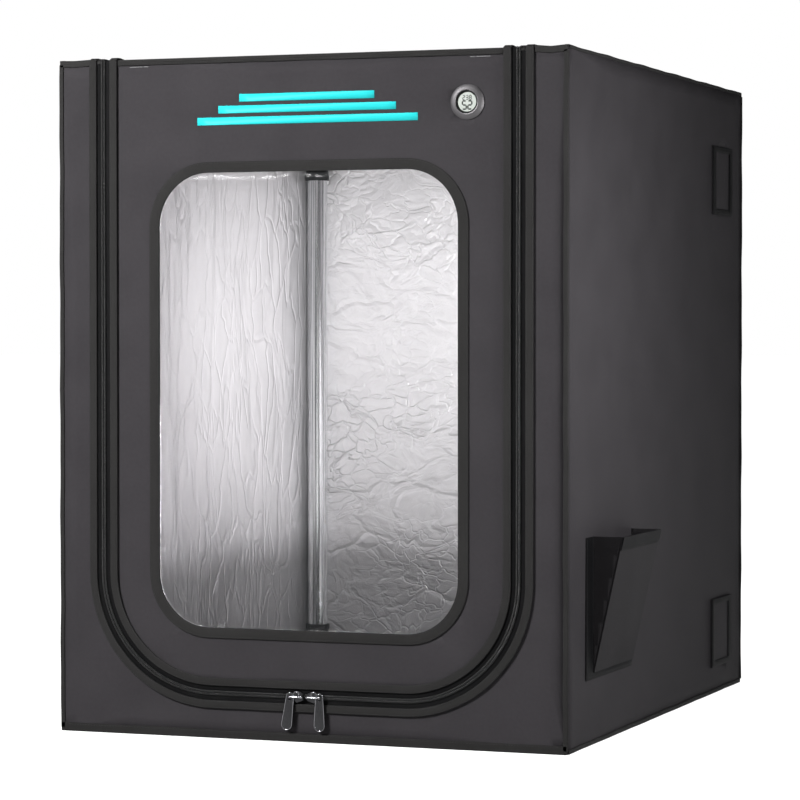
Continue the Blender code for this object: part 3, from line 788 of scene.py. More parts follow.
def window_loop(step=0.006, corner_steps=16):
    """Points and outward normals round the window's edge, anticlockwise from its lower right."""
    line = []
    for right_side, top, start in ((1, 0, -90), (1, 1, 0), (-1, 1, 90), (-1, 0, 180)):
        centre = (right_side * (WINDOW_HALF - WINDOW_R),
            WINDOW_HIGH - WINDOW_R if top else WINDOW_LOW + WINDOW_R)
        for i in range(corner_steps + 1):
            angle = radians(start + 90 * i / corner_steps)
            out = (cos(angle), sin(angle))
            line.append(((centre[0] + WINDOW_R * out[0], centre[1] + WINDOW_R * out[1]), out))
    dense = []
    for (a, out_a), (b, _) in zip(line, line[1:] + line[:1]):
        gap = ((a[0] - b[0]) ** 2 + (a[1] - b[1]) ** 2) ** 0.5
        count = max(1, round(gap / step))
        for i in range(count):
            t = i / count
            dense.append(((a[0] + t * (b[0] - a[0]), a[1] + t * (b[1] - a[1])), out_a))
    return dense


window_edge = window_loop()
strip("window_frame", window_edge, band(-0.0004, BORDER_WIDE, 0.0003, 0.0016), "door", "binding_black",
    BINDING, ["window_border"], closed=True, wander=0.00008)
rows = [beside(window_edge + window_edge[:1], offset, 0.0016) for offset in (0.0012, 0.0096)]
row("window_stitches", rows, STITCH_PITCH, STITCH, "door", THREAD, front_relief)

FILM, tree, shader = material("window_film", Base_Color=(0.10, 0.105, 0.11), Roughness=0.10,
    Specular_IOR_Level=0.5)
facing = node(tree, "ShaderNodeLayerWeight", {"Blend": 0.25})
feed(tree, ramp(tree, facing.outputs["Facing"], (0.0, 0.008), (1.0, 0.30)), shader, "Alpha")
slack = node(tree, "ShaderNodeTexNoise", {"Vector": coordinates(tree, (5, 5, 5)), "Detail": 2})
bump(tree, shader, slack.outputs["Fac"], 0.004)
bm = cut_wall("window_film", Y)
lay_uv(bm, Y)
lift(bm, Y, -1, lambda x, z: front_relief(x, z) - 0.0002)
pane = piece("window_pane", bm, "door", "window_film", FILM, sharp=60)
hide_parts("window_film")


# ---------------------------------------------------------------------------------------------
# Door hinge: the door has no hardware. Its cloth is sewn to the roof along the top front edge,
# under a turned hem, and folds there. Two short bar tacks in pale thread hold each end; their
# pale colour is a painted highlight, where the hem catches the light.


def tape_strip(bm, points, across, thick, wide):
    """A flat strip through points; across is its width's direction, and it lies on its inner face."""
    layer = bm.loops.layers.uv.verify()
    across = Vector(across)
    rings, run = [], 0.0
    runs = []
    for i, point in enumerate(points):
        before, after = Vector(points[max(i - 1, 0)]), Vector(points[min(i + 1, len(points) - 1)])
        out = across.cross(after - before).normalized()
        run += (Vector(point) - before).length if i else 0.0
        runs.append(run)
        section = [(-wide / 2, 0), (wide / 2, 0), (wide / 2, thick * 0.7), (wide / 2 - thick / 2, thick),
            (-wide / 2 + thick / 2, thick), (-wide / 2, thick * 0.7)]
        rings.append([bm.verts.new(Vector(point) + across * u + out * h) for u, h in section])
    count = len(rings[0])
    for i in range(len(rings) - 1):
        for j in range(count):
            k = (j + 1) % count
            face = bm.faces.new((rings[i][j], rings[i + 1][j], rings[i + 1][k], rings[i][k]))
            for loop, (a, b) in zip(face.loops, ((i, j), (i + 1, j), (i + 1, j + 1), (i, j + 1))):
                loop[layer].uv = (runs[a], b * wide / count)
    bm.faces.new(rings[0])
    bm.faces.new(rings[-1])
    bmesh.ops.recalc_face_normals(bm, faces=bm.faces)


hem_low, hem_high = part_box("door_hem")
hem_line = [((x, hem_high.z), (0.0, 1.0)) for x in np.linspace(hem_low.x, hem_high.x, 120)]
strip("door_top_hem", hem_line, band(hem_low.z - hem_high.z, -0.0002, 0.0003, 0.0013), "door",
    "binding_black", BINDING, ["door_hem"], wander=0.00015)

SEAM_POINTS = 9
HINGE_BACK = 0.007
hinge_bm = bmesh.new()
hinge_line = []
for i in range(SEAM_POINTS):
    turn = radians(90 * i / (SEAM_POINTS - 1))
    hinge_line.append((0, FRONT + HINGE_BACK * (1 - sin(turn)) - 0.0014 * sin(turn),
        HEIGHT + 0.0004 - 0.004 * (1 - cos(turn))))
tape_strip(hinge_bm, hinge_line, (1, 0, 0), 0.0009, 2 * hem_high.x - 0.001)
bmesh.ops.subdivide_edges(hinge_bm, edges=[e for e in hinge_bm.edges
    if abs(e.verts[0].co.x - e.verts[1].co.x) > 0.1], cuts=60, use_grid_fill=True)
hinge_mesh = bpy.data.meshes.new("door_hinge_seam")
hinge_bm.to_mesh(hinge_mesh)
hinge_bm.free()
hinge_mesh.shade_smooth()
hinge_mesh.materials.append(BINDING)
hinge_seam = bpy.data.objects.new("door_hinge_seam", hinge_mesh)
bpy.context.scene.collection.objects.link(hinge_seam)
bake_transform(hinge_seam)

# Pale grey thread for the hem tacks: its paleness is a painted highlight on the hem.
HIGHLIGHT_THREAD, tree, shader = material("thread_grey_painted_highlight", Base_Color=(0.035, 0.035, 0.036), Roughness=0.6)
twist = node(tree, "ShaderNodeTexNoise", {"Vector": coordinates(tree, (2500, 2500, 2500)), "Detail": 1})
feed(tree, ramp(tree, twist.outputs["Fac"], (0.3, (0.025, 0.025, 0.026)), (0.7, (0.05, 0.05, 0.051))),
    shader, "Base Color")
TACK_DROP = 0.0085
tacks = []
for side in (-1, 1):
    for near, far in ((0.1815, 0.1862), (0.1882, 0.2022)):
        tacks.append([(side * near, FRONT - 0.0004, HEIGHT - TACK_DROP),
            (side * far, FRONT - 0.0004, HEIGHT - TACK_DROP)])
row("door_hem_highlight_tacks", tacks, 0.0009, (0.0012, 0.0005, 0.0011), "door", HIGHLIGHT_THREAD,
    front_relief)
row("door_hem_stitches", [[(hem_low.x + 0.004, FRONT - 0.0014, HEIGHT - 0.0052),
    (hem_high.x - 0.004, FRONT - 0.0014, HEIGHT - 0.0052)]], STITCH_PITCH, STITCH, "door",
    THREAD)


# ---------------------------------------------------------------------------------------------
# Zip ends: at the top of each side the bindings, tape and coil run on over the front edge and
# are sewn down on the roof, in a low hump.

TAIL_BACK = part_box("zip_tail_left")[1].y - FRONT
FOLD_R = 0.0035


def over_the_edge(depth, start_z, back):
    """Points up the front, round the top edge at a depth outside it, and back along the roof."""
    points = [(FRONT - depth, start_z)]
    for i in range(7):
        turn = radians(15 * i)
        reach = FOLD_R + depth
        points.append((FRONT + FOLD_R - reach * cos(turn), HEIGHT - FOLD_R + reach * sin(turn)))
    points.append((FRONT + back * 0.5, HEIGHT + depth))
    points.append((FRONT + back, HEIGHT + depth * 0.35))
    return points


for side, name in ((-1, "left"), (1, "right")):
    bm = bmesh.new()
    for near, wide, depth in ((0.0078, 0.0084, 0.0012), (0.0005, 0.0070, 0.0004)):
        x = side * (ZIP_HALF + near + wide / 2)
        tape_strip(bm, [(x, y, z) for y, z in over_the_edge(depth, HEIGHT - 0.004, TAIL_BACK)], (1, 0, 0),
            0.0013, wide)
    tail = piece(f"zip_end_{name}", bm, "root", "binding_black", BINDING, sharp=50)
    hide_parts(f"zip_tail_{name}")
    bm = bmesh.new()
    inner_x = side * (ZIP_HALF - 0.0120)
    cap = [(inner_x, y, z) for y, z in over_the_edge(0.0012, HEIGHT - 0.004, TAIL_BACK)]
    tape_strip(bm, cap, (1, 0, 0), 0.0013, 0.0084)
    bmesh.ops.subdivide_edges(bm, edges=bm.edges[:], cuts=1)
    fold_mesh = bpy.data.meshes.new(f"zip_fold_{name}")
    bm.to_mesh(fold_mesh)
    bm.free()
    fold_mesh.shade_smooth()
    fold_mesh.materials.append(BINDING)
    fold = bpy.data.objects.new(f"zip_fold_{name}", fold_mesh)
    bpy.context.scene.collection.objects.link(fold)
    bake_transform(fold)


# ---------------------------------------------------------------------------------------------
# Edge seams: the walls meet in twelve seams, each closed by a folded binding sewn through both
# walls. Its two leaves lie on the walls, with a line of stitches along each.

LEAF = 0.0042
LEAF_THICK = 0.0012
HEM_LEAF = 0.0085
TOP_LEAF = 0.0026


def seam_section(leaf_a, leaf_b):
    """An L with a rounded corner, as offsets in from the edge and out from the walls."""
    t, r = LEAF_THICK, 0.0012
    outer = [(-t + r * (1 - cos(radians(a))), -t + r * (1 - sin(radians(a))))
        for a in (0, 22.5, 45, 67.5, 90)]
    return [(leaf_a, 0.0001), (leaf_a - t / 2, -t), *reversed(outer), (-t, leaf_b - t / 2),
        (0.0001, leaf_b), (0.0001, 0.0001)]


def seam(bm, start, end, into_a, into_b, leaf_a=LEAF, leaf_b=LEAF, sag=0.0):
    """A binding along an edge; into_a and into_b point from it into the two walls."""
    start, end, into_a, into_b = (Vector(v) for v in (start, end, into_a, into_b))
    layer = bm.loops.layers.uv.verify()
    section = seam_section(leaf_a, leaf_b)
    count = max(2, round((end - start).length / 0.015))
    rings = []
    for i in range(count + 1):
        t = i / count
        centre = start.lerp(end, t)
        wave = 0.00025 * sin(t * 31 + start.x * 40) + 0.0002 * sin(t * 67 + end.y * 30)
        centre = centre + into_a * wave + Vector((0, 0, -sag * sin(pi * t)))
        rings.append([bm.verts.new(centre + into_a * a + into_b * b) for a, b in section])
    for i in range(count):
        for j in range(len(section)):
            k = (j + 1) % len(section)
            face = bm.faces.new((rings[i][j], rings[i + 1][j], rings[i + 1][k], rings[i][k]))
            for loop, (a, b) in zip(face.loops, ((i, j), (i + 1, j), (i + 1, j + 1), (i, j + 1))):
                loop[layer].uv = (0.015 * a, 0.0012 * b)
    bm.faces.new(rings[0])
    bm.faces.new(rings[-1])


ZIP_EDGE = ZIP_HALF + 0.0170
seams = bmesh.new()
for sx in (-1, 1):
    for y, into_y in ((FRONT, 1), (-FRONT, -1)):
        seam(seams, (sx * HALF_W, y, 0.004), (sx * HALF_W, y, HEIGHT - 0.004), (-sx, 0, 0),
            (0, into_y, 0), leaf_b=0.0016)
    for z, into_z in ((0.0007, 1), (HEIGHT, -1)):
        side_leaf = LEAF if into_z > 0 else TOP_LEAF
        seam(seams, (sx * HALF_W, FRONT + 0.004, z), (sx * HALF_W, -FRONT - 0.004, z), (0, 0, into_z),
            (-sx, 0, 0), leaf_a=side_leaf)
    seam(seams, (sx * HALF_W, FRONT, HEIGHT), (sx * ZIP_EDGE, FRONT, HEIGHT), (0, 0, -1), (0, 1, 0),
        leaf_a=0.0062, sag=0.0012)
seam(seams, (-HALF_W, -FRONT, HEIGHT), (HALF_W, -FRONT, HEIGHT), (0, 0, -1), (0, -1, 0))
seam(seams, (-HALF_W, FRONT, 0.0007), (HALF_W, FRONT, 0.0007), (0, 0, 1), (0, 1, 0), leaf_a=HEM_LEAF)
seam(seams, (-HALF_W, -FRONT, 0.0007), (HALF_W, -FRONT, 0.0007), (0, 0, 1), (0, -1, 0), leaf_a=HEM_LEAF)
bmesh.ops.recalc_face_normals(seams, faces=seams.faces)
piece("edge_bindings", seams, "root", "binding_black", BINDING, sharp=60)

stitch_lines = []
STITCH_IN = 0.0032
for sx in (-1, 1):
    for y, out in ((FRONT, -1), (-FRONT, 1)):
        stitch_lines.append([(sx * (HALF_W - STITCH_IN), y + out * LEAF_THICK, 0.01),
            (sx * (HALF_W - STITCH_IN), y + out * LEAF_THICK, HEIGHT - 0.01)])
        stitch_lines.append([(sx * (HALF_W + LEAF_THICK), y - out * STITCH_IN, 0.01),
            (sx * (HALF_W + LEAF_THICK), y - out * STITCH_IN, HEIGHT - 0.01)])
    for z in (STITCH_IN, HEIGHT - TOP_LEAF / 2):
        stitch_lines.append([(sx * (HALF_W + LEAF_THICK), FRONT + 0.01, z),
            (sx * (HALF_W + LEAF_THICK), -FRONT - 0.01, z)])
for y, out in ((FRONT, -1), (-FRONT, 1)):
    stitch_lines.append([(-HALF_W + 0.01, y + out * LEAF_THICK, HEM_LEAF - 0.001),
        (HALF_W - 0.01, y + out * LEAF_THICK, HEM_LEAF - 0.001)])
row("edge_stitches", stitch_lines, STITCH_PITCH, STITCH, "root", THREAD)


# ---------------------------------------------------------------------------------------------
# Print: three plain bars of cyan transfer film, pressed on the door above the window.

PRINT, tree, shader = material("print_cyan", Base_Color=(0.007, 0.19, 0.195), Roughness=0.5,
    Specular_IOR_Level=0.05)
pressed = node(tree, "ShaderNodeTexNoise", {"Vector": coordinates(tree, (700, 700, 700)), "Detail": 3})
feed(tree, ramp(tree, pressed.outputs["Fac"], (0.3, (0.0065, 0.180, 0.185)),
    (0.7, (0.0080, 0.205, 0.210))), shader, "Base Color")
bump(tree, shader, pressed.outputs["Fac"], 0.00004)
for level in ("low", "middle", "high"):
    bm = cut_wall(f"print_bar_{level}", Y, 0.012)
    lay_uv(bm, Y)
    lift(bm, Y, -1, front_relief)
    bar = piece(f"cyan_bar_{level}", bm, "door", "print_cyan", PRINT, sharp=60)
    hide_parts(f"print_bar_{level}")


# ---------------------------------------------------------------------------------------------
# Zip sliders: two die-cast sliders in dark nickel that meet at the bottom. Each has a crowned
# plate over the coil, a bridge bar with ball ends, and a long flat pull threaded on its post.

GUNMETAL, tree, shader = material("gunmetal", Base_Color=(0.05, 0.05, 0.052), Metallic=1.0,
    Roughness=0.28)
cast = node(tree, "ShaderNodeTexNoise", {"Vector": coordinates(tree, (900, 900, 900)), "Detail": 4})
feed(tree, ramp(tree, cast.outputs["Fac"], (0.3, 0.20), (0.7, 0.38)), shader, "Roughness")
feed(tree, ramp(tree, cast.outputs["Fac"], (0.3, (0.022, 0.022, 0.023)), (0.7, (0.040, 0.040, 0.042))),
    shader, "Base Color")
bump(tree, shader, cast.outputs["Fac"], 0.00004)
# A lighter copy of the slider metal for the bridge, crown and pull rims: painted highlight on their
# edges.
NICKEL_PAINTED_HIGHLIGHT, tree, shader = material("nickel_painted_highlight", Base_Color=(0.20, 0.20, 0.21), Metallic=1.0,
    Roughness=0.18)
buffed = node(tree, "ShaderNodeTexNoise", {"Vector": coordinates(tree, (1500, 1500, 1500)), "Detail": 2})
feed(tree, ramp(tree, buffed.outputs["Fac"], (0.3, 0.12), (0.7, 0.26)), shader, "Roughness")


def bevelled_plate(bm, outline, front, back, edge, hole=None, steps=3):
    """A flat casting with rounded edges, from an outline of (x, z), with an optional hole."""
    start = len(bm.faces)
    loops = [outline] + ([hole] if hole else [])
    edges = []
    for loop in loops:
        points = [bm.verts.new((x, back, z)) for x, z in loop]
        edges += [bm.edges.new(pair) for pair in zip(points, points[1:] + points[:1])]
    filled = bmesh.ops.triangle_fill(bm, edges=edges, use_beauty=True, use_dissolve=False)
    base = [f for f in filled["geom"] if isinstance(f, bmesh.types.BMFace)]
    grown = bmesh.ops.extrude_face_region(bm, geom=base)
    top = [g for g in grown["geom"] if isinstance(g, bmesh.types.BMVert)]
    for vertex in top:
        vertex.co.y = front
    whole = bm.faces[start:]
    bmesh.ops.recalc_face_normals(bm, faces=whole)
    bm.normal_update()
    rims = {e for f in whole for e in f.edges if len(e.link_faces) == 2
        and e.calc_face_angle() > radians(60) and abs(e.verts[0].co.y - e.verts[1].co.y) < 1e-7}
    bmesh.ops.bevel(bm, geom=list(rims), offset=edge, segments=steps, profile=0.5, affect="EDGES",
        clamp_overlap=True)


def ball(bm, centre, radius):
    made = bmesh.ops.create_uvsphere(bm, u_segments=20, v_segments=12, radius=radius)
    bmesh.ops.translate(bm, verts=made["verts"], vec=centre)


def bar(bm, start, end, radius):
    """A round bar with domed ends."""
    length = (Vector(end) - Vector(start)).length
    dome = [(radius * sin(radians(a)), -radius * cos(radians(a))) for a in (0, 30, 60, 90)]
    far = [(radius * sin(radians(a)), length - radius * cos(radians(a))) for a in (90, 120, 150, 180)]
    lathe(bm, [*dome, *far], start, Vector(end) - Vector(start), steps=20)


ARM = 0.0065
BAR_R = 0.0010
SHIELD = ((-0.0080, 0.0028), (-0.0030, 0.0034), (0.0002, 0.0064), (0.0036, 0.0052), (0.0078, 0.0034))
KNOB_R = 0.00155
for side, name in ((-1, "left"), (1, "right")):
    low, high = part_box(f"slider_{name}")
    plate_back, bar_y = high.y, low.y + 0.0015
    plate_front = plate_back - 0.0020
    z = (low.z + high.z) / 2
    inner_x = (low.x if side > 0 else high.x)
    x = inner_x + side * 0.0080
    bm = bmesh.new()
    upper = [(x - side * a, z + b) for a, b in SHIELD]
    shape = upper + [(x - side * a, z - b) for a, b in SHIELD[::-1]]
    bevelled_plate(bm, shape, plate_front, plate_back, 0.0005)
    for end in (-1, 1):
        bar(bm, (x + end * ARM, plate_front + 0.0003, z), (x + end * ARM, bar_y, z), 0.0009)
    slider = piece(f"slider_body_{name}", bm, f"slider_{name}", "gunmetal", GUNMETAL, sharp=35)
    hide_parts(f"slider_{name}")
    bm = bmesh.new()
    bar(bm, (x - ARM, bar_y, z), (x + ARM, bar_y, z), BAR_R)
    ball(bm, (x - ARM, bar_y, z), KNOB_R)
    ball(bm, (x + ARM, bar_y, z), KNOB_R)
    crown = [(x + 0.0038 * cos(radians(t)), z + 0.0008 + 0.0050 * sin(radians(t)))
        for t in range(0, 181, 15)]
    crown += [(x + 0.0030 * cos(radians(t)), z + 0.0008 + 0.0042 * sin(radians(t)))
        for t in range(180, -1, -15)]
    bevelled_plate(bm, crown, plate_front - 0.0006, plate_front - 0.00005, 0.0002, steps=2)
    piece(f"slider_bridge_{name}", bm, f"slider_{name}", "gunmetal", NICKEL_PAINTED_HIGHLIGHT, sharp=60)

    pull_low, pull_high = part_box(f"pull_{name}")
    pull_front, pull_back = pull_low.y, pull_high.y
    lean = radians(7.6) if side < 0 else 0.0
    pivot_x = x + side * ARM
    top_r, end_r, long = 0.0042, 0.0060, 0.0292
    outline = [(top_r * cos(radians(t)), top_r * sin(radians(t))) for t in range(0, 181, 12)]
    outline += [(end_r * cos(radians(t)), -long + end_r * sin(radians(t))) for t in range(180, 361, 12)]
    eye = [(0.0021 * cos(radians(t)), -0.0008 + 0.0030 * sin(radians(t))) for t in range(0, 360, 15)]
    place = Matrix.Translation((pivot_x, 0, z)) @ Matrix.Rotation(lean, 4, "Y")
    bm = bmesh.new()
    bevelled_plate(bm, outline, pull_front, pull_back, 0.0004, hole=eye)
    bmesh.ops.transform(bm, verts=bm.verts, matrix=place)
    pull = piece(f"pull_tab_{name}", bm, f"pull_{name}", "gunmetal", GUNMETAL, sharp=35)
    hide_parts(f"pull_{name}")
    bm = bmesh.new()
    rim = outline[:]
    rim_points = [place @ Vector((u * 0.95, pull_front + 0.0002, v + 0.0001)) for u, v in rim]
    rings = []
    for i, point in enumerate(rim_points):
        after = rim_points[(i + 1) % len(rim_points)]
        before = rim_points[i - 1]
        tangent = (after - before).normalized()
        across = tangent.cross(Vector((0, 1, 0))).normalized()
        rings.append([bm.verts.new(point + across * (0.00032 * cos(radians(t))) + Vector(
            (0, 0.00032 * sin(radians(t)), 0))) for t in range(0, 360, 45)])
    for i in range(len(rings)):
        after = rings[(i + 1) % len(rings)]
        for j in range(8):
            bm.faces.new((rings[i][j], after[j], after[(j + 1) % 8], rings[i][(j + 1) % 8]))
    bmesh.ops.recalc_face_normals(bm, faces=bm.faces)
    piece(f"pull_rim_{name}", bm, f"pull_{name}", "gunmetal", NICKEL_PAINTED_HIGHLIGHT, sharp=80)


# ---------------------------------------------------------------------------------------------
# Gauge: a round thermometer and hygrometer pushed through the door cloth. It has a spun conical
# bezel, a black barrel with a nut and a battery cap behind the cloth, and a reflective display.

DIAL_METAL, tree, shader = material("dial_metal", Base_Color=(0.14, 0.135, 0.14), Metallic=1.0,
    Roughness=0.5)
dial_low, dial_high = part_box("dial_bezel")
DIAL = Vector(((dial_low.x + dial_high.x) / 2, 0, (dial_low.z + dial_high.z) / 2))
centred = node(tree, "ShaderNodeTexCoord").outputs["Object"]
centred = node(tree, "ShaderNodeVectorMath", {0: centred, 1: (DIAL.x, 0, DIAL.z)},
    operation="SUBTRACT").outputs[0]
flat = node(tree, "ShaderNodeVectorMath", {0: centred, 1: (1, 0, 1)}, operation="MULTIPLY").outputs[0]
reach = node(tree, "ShaderNodeVectorMath", {0: flat}, operation="LENGTH").outputs["Value"]
rings = node(tree, "ShaderNodeTexNoise", {"W": sum_up(tree, "MULTIPLY", reach, 9000)},
    noise_dimensions="1D")
feed(tree, ramp(tree, rings.outputs["Fac"], (0.3, 0.46), (0.7, 0.58)), shader, "Roughness")
feed(tree, ramp(tree, rings.outputs["Fac"], (0.3, (0.055, 0.053, 0.055)), (0.7, (0.085, 0.082, 0.085))),
    shader, "Base Color")
bump(tree, shader, rings.outputs["Fac"], 0.00003)

DIAL_BLACK, tree, shader = material("dial_black", Base_Color=(0.0015, 0.0015, 0.0015), Roughness=0.4,
    Specular_IOR_Level=0.15)
moulded = node(tree, "ShaderNodeTexNoise", {"Vector": coordinates(tree, (1800, 1800, 1800)), "Detail": 2})
feed(tree, ramp(tree, moulded.outputs["Fac"], (0.3, 0.28), (0.7, 0.44)), shader, "Roughness")

SCREEN, tree, shader = material("screen", Base_Color=(0.12, 0.135, 0.12), Roughness=0.45,
    Specular_IOR_Level=0.2)
clouded = node(tree, "ShaderNodeTexNoise", {"Vector": coordinates(tree, (220, 220, 220)), "Detail": 2})
feed(tree, ramp(tree, clouded.outputs["Fac"], (0.35, (0.150, 0.165, 0.150)),
    (0.65, (0.180, 0.192, 0.178))), shader, "Base Color")

RISE = float(front_relief(np.array([DIAL.x]), np.array([DIAL.z]))[0])
FACE = FRONT - RISE


def dial_part(name, node_name, slot, finish, profile, sharp=30):
    """A turned part of the gauge, from a profile of (radius, depth behind the cloth's face)."""
    bm = bmesh.new()
    lathe(bm, [(r, y) for r, y in profile], (DIAL.x, FACE, DIAL.z), (0, 1, 0), steps=72)
    part = piece(name, bm, "door", slot, finish, sharp=sharp)
    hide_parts(node_name)


BORE = 0.0120
BARREL = 0.0117
SCREEN_R = 0.0101
dial_part("gauge_bezel", "dial_bezel", "dial_metal", DIAL_METAL, [
    (BORE, -0.0002), (0.0180, -0.0002), (0.0182, -0.0004), (0.0182, -0.0010), (0.0180, -0.0013),
    (0.0150, -0.0028), (0.0130, -0.0038), (0.0126, -0.0040), (0.0122, -0.0039), (BORE, -0.0036),
])
dial_part("gauge_barrel", "dial_barrel", "dial_black", DIAL_BLACK, [
    (0, -0.0004), (SCREEN_R + 0.0002, -0.0004), (SCREEN_R + 0.0003, -0.0012),
    (SCREEN_R + 0.0010, -0.0034), (SCREEN_R + 0.0013, -0.0036),
    (BARREL, -0.0034), (BARREL, 0.0154), (BARREL - 0.0006, 0.0160), (0.0089, 0.0160), (0.0086, 0.0157),
    (0.0086, 0.0135), (0, 0.0135),
])
dial_part("gauge_display", "dial_screen", "screen", SCREEN,
    [(0, -0.0015), (SCREEN_R - 0.0002, -0.0015), (SCREEN_R, -0.0013), (SCREEN_R, -0.0007), (0, -0.0007)])
nut = [(BORE, 0.0017)]
for ridge in range(5):
    nut += [(0.0166, 0.0017 + ridge * 0.00044), (0.0170, 0.0019 + ridge * 0.00044)]
nut += [(0.0168, 0.0037), (BORE, 0.0037)]
dial_part("gauge_nut", "dial_ring", "dial_black", DIAL_BLACK, nut)
dial_part("gauge_battery_cap", "dial_battery_cap", "dial_black", DIAL_BLACK,
    [(0, 0.0139), (0.0082, 0.0139), (0.0082, 0.0161), (0.0079, 0.0164), (0.0060, 0.0164),
    (0.0058, 0.0161), (0, 0.0161)])

LENS, tree, shader = material("gauge_lens", Base_Color=(0.03, 0.03, 0.03), Roughness=0.04,
    Specular_IOR_Level=0.5)
edge_on = node(tree, "ShaderNodeLayerWeight", {"Blend": 0.3})
feed(tree, ramp(tree, edge_on.outputs["Facing"], (0.0, 0.02), (1.0, 0.3)), shader, "Alpha")
dial_part("gauge_lens", "dial_lens", "window_film", LENS,
    [(0, -0.0029), (0.0060, -0.0028), (SCREEN_R, -0.0025), (SCREEN_R, -0.0020), (0, -0.0020)])

SEGMENTS = {"0": "abcdef", "2": "abged", "3": "abgcd", "4": "fgbc", "5": "afgcd", "8": "abcdefg"}
PLACES = {"a": (0.5, 2, "h"), "b": (1, 1.5, "v"), "c": (1, 0.5, "v"), "d": (0.5, 0, "h"),
    "e": (0, 0.5, "v"), "f": (0, 1.5, "v"), "g": (0.5, 1, "h")}
INK, tree, shader = material("display_ink", Base_Color=(0.0015, 0.0025, 0.0022), Roughness=0.5,
    Specular_IOR_Level=0.1)
INK_DEPTH = 0.00156


def digits(bm, text, left, low, size, gap):
    """Seven-segment digits on the display; size is a segment's length."""
    for number, figure in enumerate(text):
        for part in SEGMENTS[figure]:
            u, v, way = PLACES[part]
            cx, cz = left + number * (size + gap) + u * size, low + v * size
            long, wide = size * 0.47, size * 0.18
            tips = [(-long, 0), (-long + wide, -wide), (long - wide, -wide), (long, 0),
                (long - wide, wide), (-long + wide, wide)]
            outline = [(cx + (a if way == "h" else b), cz + (b if way == "h" else a)) for a, b in tips]
            face = bm.faces.new([bm.verts.new((x, FACE - INK_DEPTH, z)) for x, z in outline])
            grown = bmesh.ops.extrude_face_region(bm, geom=[face])
            bmesh.ops.translate(bm, verts=[g for g in grown["geom"] if isinstance(g, bmesh.types.BMVert)],
                vec=(0, 0.00005, 0))
    bmesh.ops.recalc_face_normals(bm, faces=bm.faces)


bm = bmesh.new()
digits(bm, "52", DIAL.x - 0.0051, DIAL.z - 0.0075, 0.0042, 0.0018)
digits(bm, "238", DIAL.x - 0.0048, DIAL.z + 0.0022, 0.0022, 0.0014)
piece("gauge_digits", bm, "door", "dial_black", INK, sharp=30)


# ---------------------------------------------------------------------------------------------
# Cable ports: two openings low and high at the back of the right wall. A cloth flap hangs over
# each from its sewn top edge, edged with black webbing held by two rows of stitches.

WEB = cloth("web_black", (0.0014, 0.0014, 0.0016), (0.0024, 0.0024, 0.0026), 0.0011, 0.55, depth=0.0002,
    sheen=0.0)


def soft_plate(node_name, axis, spacing, edge=0.0002):
    """A CAD plate with its edges rounded, cut into a grid."""
    bm = bmesh.new()
    bm.from_mesh(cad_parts[node_name].data)
    bmesh.ops.remove_doubles(bm, verts=bm.verts, dist=1e-6)
    bmesh.ops.dissolve_limit(bm, angle_limit=radians(1), verts=bm.verts, edges=bm.edges)
    bm.normal_update()
    corners = [e for e in bm.edges if e.is_manifold and e.calc_face_angle() > radians(50)]
    bmesh.ops.bevel(bm, geom=corners, offset=edge, segments=2, profile=0.5, affect="EDGES",
        clamp_overlap=True)
    low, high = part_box(node_name)
    for i in range(3):
        cuts = 0 if i == axis else int((high[i] - low[i]) / spacing)
        normal = [float(j == i) for j in range(3)]
        for step in range(1, cuts + 1):
            everything = [*bm.verts, *bm.edges, *bm.faces]
            bmesh.ops.bisect_plane(bm, geom=everything, dist=1e-7,
                plane_co=low.lerp(high, step / (cuts + 1)), plane_no=normal)
    lay_uv(bm, axis)
    return bm


def frame_rows(low, high, inset):
    """A rectangle of points round a port, in from its outer edge."""
    corners = [(low.y + inset, low.z + inset), (high.y - inset, low.z + inset),
        (high.y - inset, high.z - inset), (low.y + inset, high.z - inset)]
    return [(high.x, y, z) for y, z in [*corners, corners[0]]]


PORT_SIDE = 0.014
PORT_END = 0.007
for level in ("upper", "lower"):
    low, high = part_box(f"port_flap_{level}")
    middle = (low + high) / 2

    def bulge(y, z):
        inside = held(y - middle.y, z - middle.z, high.y - middle.y - PORT_SIDE,
            high.z - middle.z - PORT_END)
        return 0.0006 * np.clip(inside, 0, 1) * (1 + 0.4 * np.sin(y * 90 + z * 40))

    bm = plain_wall(low, high, X, 0.0045)
    lay_uv(bm, X)
    lift(bm, X, 1, bulge)
    flap = piece(f"port_cover_{level}", bm, f"port_{level}", "cloth_black", CLOTH, sharp=60)
    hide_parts(f"port_flap_{level}")
    bm = soft_plate(f"port_border_{level}", X, 0.008)
    edging = piece(f"port_edging_{level}", bm, f"port_{level}", "web_black", WEB, sharp=50)
    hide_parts(f"port_border_{level}")
    edge_low, edge_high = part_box(f"port_border_{level}")
    rows = [frame_rows(edge_low, edge_high, inset) for inset in (0.0018, 0.0050)]
    sewn = row(f"port_stitches_{level}", rows, STITCH_PITCH, STITCH, f"port_{level}", THREAD)


# ---------------------------------------------------------------------------------------------
# Pocket: an open pocket for tools on the right wall. A sloping front hangs between two gussets,
# with webbing along its mouth, and a webbing flange sews it to the wall.

pocket_low, pocket_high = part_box("pocket_front")
POCKET_TALL = pocket_high.z - pocket_low.z
CLOTH_THICK = 0.0012
LEAN = (pocket_high.x - pocket_low.x - CLOTH_THICK) / POCKET_TALL


